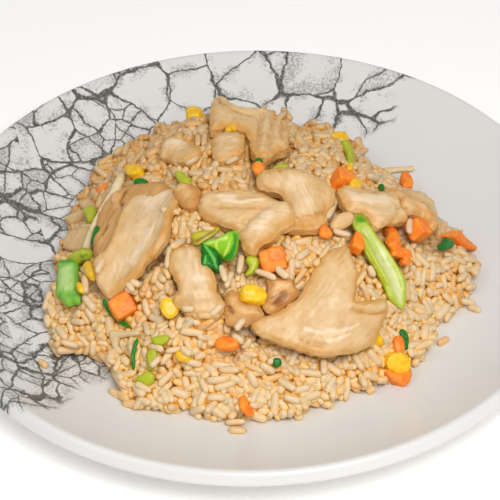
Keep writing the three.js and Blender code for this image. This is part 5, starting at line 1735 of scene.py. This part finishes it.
def grain_tones(grains, laid_count, lid, shades, rng):
    """Tones of the grains, and their order from deep to pale."""
    places = np.array([grain[0] for grain in grains])
    sunk = sample(lid, places[:, 0], places[:, 1]) - places[:, 2]
    tones = TONE_MIDDLE + TONE_SPREAD * rng.standard_normal(len(grains))
    # Painted shade, deeper with the depth below the lid
    tones -= SUNK_PAINTED_SHADE * np.clip(sunk - TONE_SUNK_FROM, *TONE_SUNK_LIMITS)
    tones += TONE_CLUMP * sample(shades, places[:, 0], places[:, 1])
    # Lighter to the right, and painted shade darker towards the back
    tones += TONE_RIGHT * places[:, 0] + BACK_PAINTED_SHADE * places[:, 1]
    tones[-laid_count:] += TONE_LAID
    return tones, np.argsort(tones + TONE_MIXING * rng.standard_normal(len(grains)))


def make_rice(pieces):
    surface, topping, over, inside = heap_maps(pieces)
    angles = np.linspace(0, 2 * math.pi, OUTLINE_SEGMENTS, endpoint=False)
    radii = np.array([outline_radius(inside, a) for a in angles])

    def outline(angle):
        return float(np.interp(angle, angles, radii, period=2 * math.pi))

    reach = np.hypot(GRID_X, GRID_Y) / np.interp(np.arctan2(GRID_Y, GRID_X) % (2 * math.pi), angles, radii)
    rng = np.random.default_rng(RICE_SEED)
    domes, shades = clump_maps(rng)
    lid, roof = rice_lid(surface, topping, over, domes, rng)
    core_top = np.where(reach < CORE_REACH, roof - core_depth_at(np.minimum(reach, 1)), NOTHING)
    core = make_core(roof, outline, core_material())
    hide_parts("rice_heap")
    floor = np.maximum(PLATE_HEIGHT, core_top)
    covered = topping > NOTHING
    heap = {
        "surface": lid, "core": core_top, "normals": slope_normals(surface),
        "reach": reach - OUTLINE_GIVE * domes,
        "tree": tree_of_pieces(pieces), "near": blur(covered.astype(float), NEAR_BLUR),
    }
    grains = scatter_grains(lid, floor, inside, rng)
    grains = pack_grains(grains, heap, rng)
    centres = grains[0]
    inner = blur(covered.astype(float), ON_TOP_BLUR)
    below = sample(topping, centres[:, 0], centres[:, 1])
    inner_share = sample(inner, centres[:, 0], centres[:, 1])
    on_top = (inner_share > ON_TOP_COVER) & (centres[:, 2] > below - ON_TOP_DEPTH)
    shown = [g for g, hidden in zip(zip(*grains), on_top) if not hidden]
    laid = laid_grains(np.maximum(cast_down(tree_of_pieces(pieces)), np.where(reach < 1, lid, PLATE_HEIGHT)))
    shown += laid
    tones, order = grain_tones(shown, len(laid), lid, shades, rng)
    template = grain_template()
    for k, (name, colours) in enumerate(RICE_KINDS):
        part = order[k * len(order) // len(RICE_KINDS):(k + 1) * len(order) // len(RICE_KINDS)]
        make_grains(name, [shown[i] for i in part], np.clip(tones[part], 0, 1), GRAIN_SEED + k,
                    rice_material(name, colours), template)


make_camera()
make_studio()
make_plate(glaze_material())
LOOK_OF = make_looks()
toppings = make_toppings(LOOK_OF)
ground = np.maximum(cast_down(tree_of_pieces(toppings)), cast_down(tree_of(["rice_heap"])))
toppings += make_crumbs(np.maximum(ground, PLATE_HEIGHT), LOOK_OF)
make_rice(toppings)
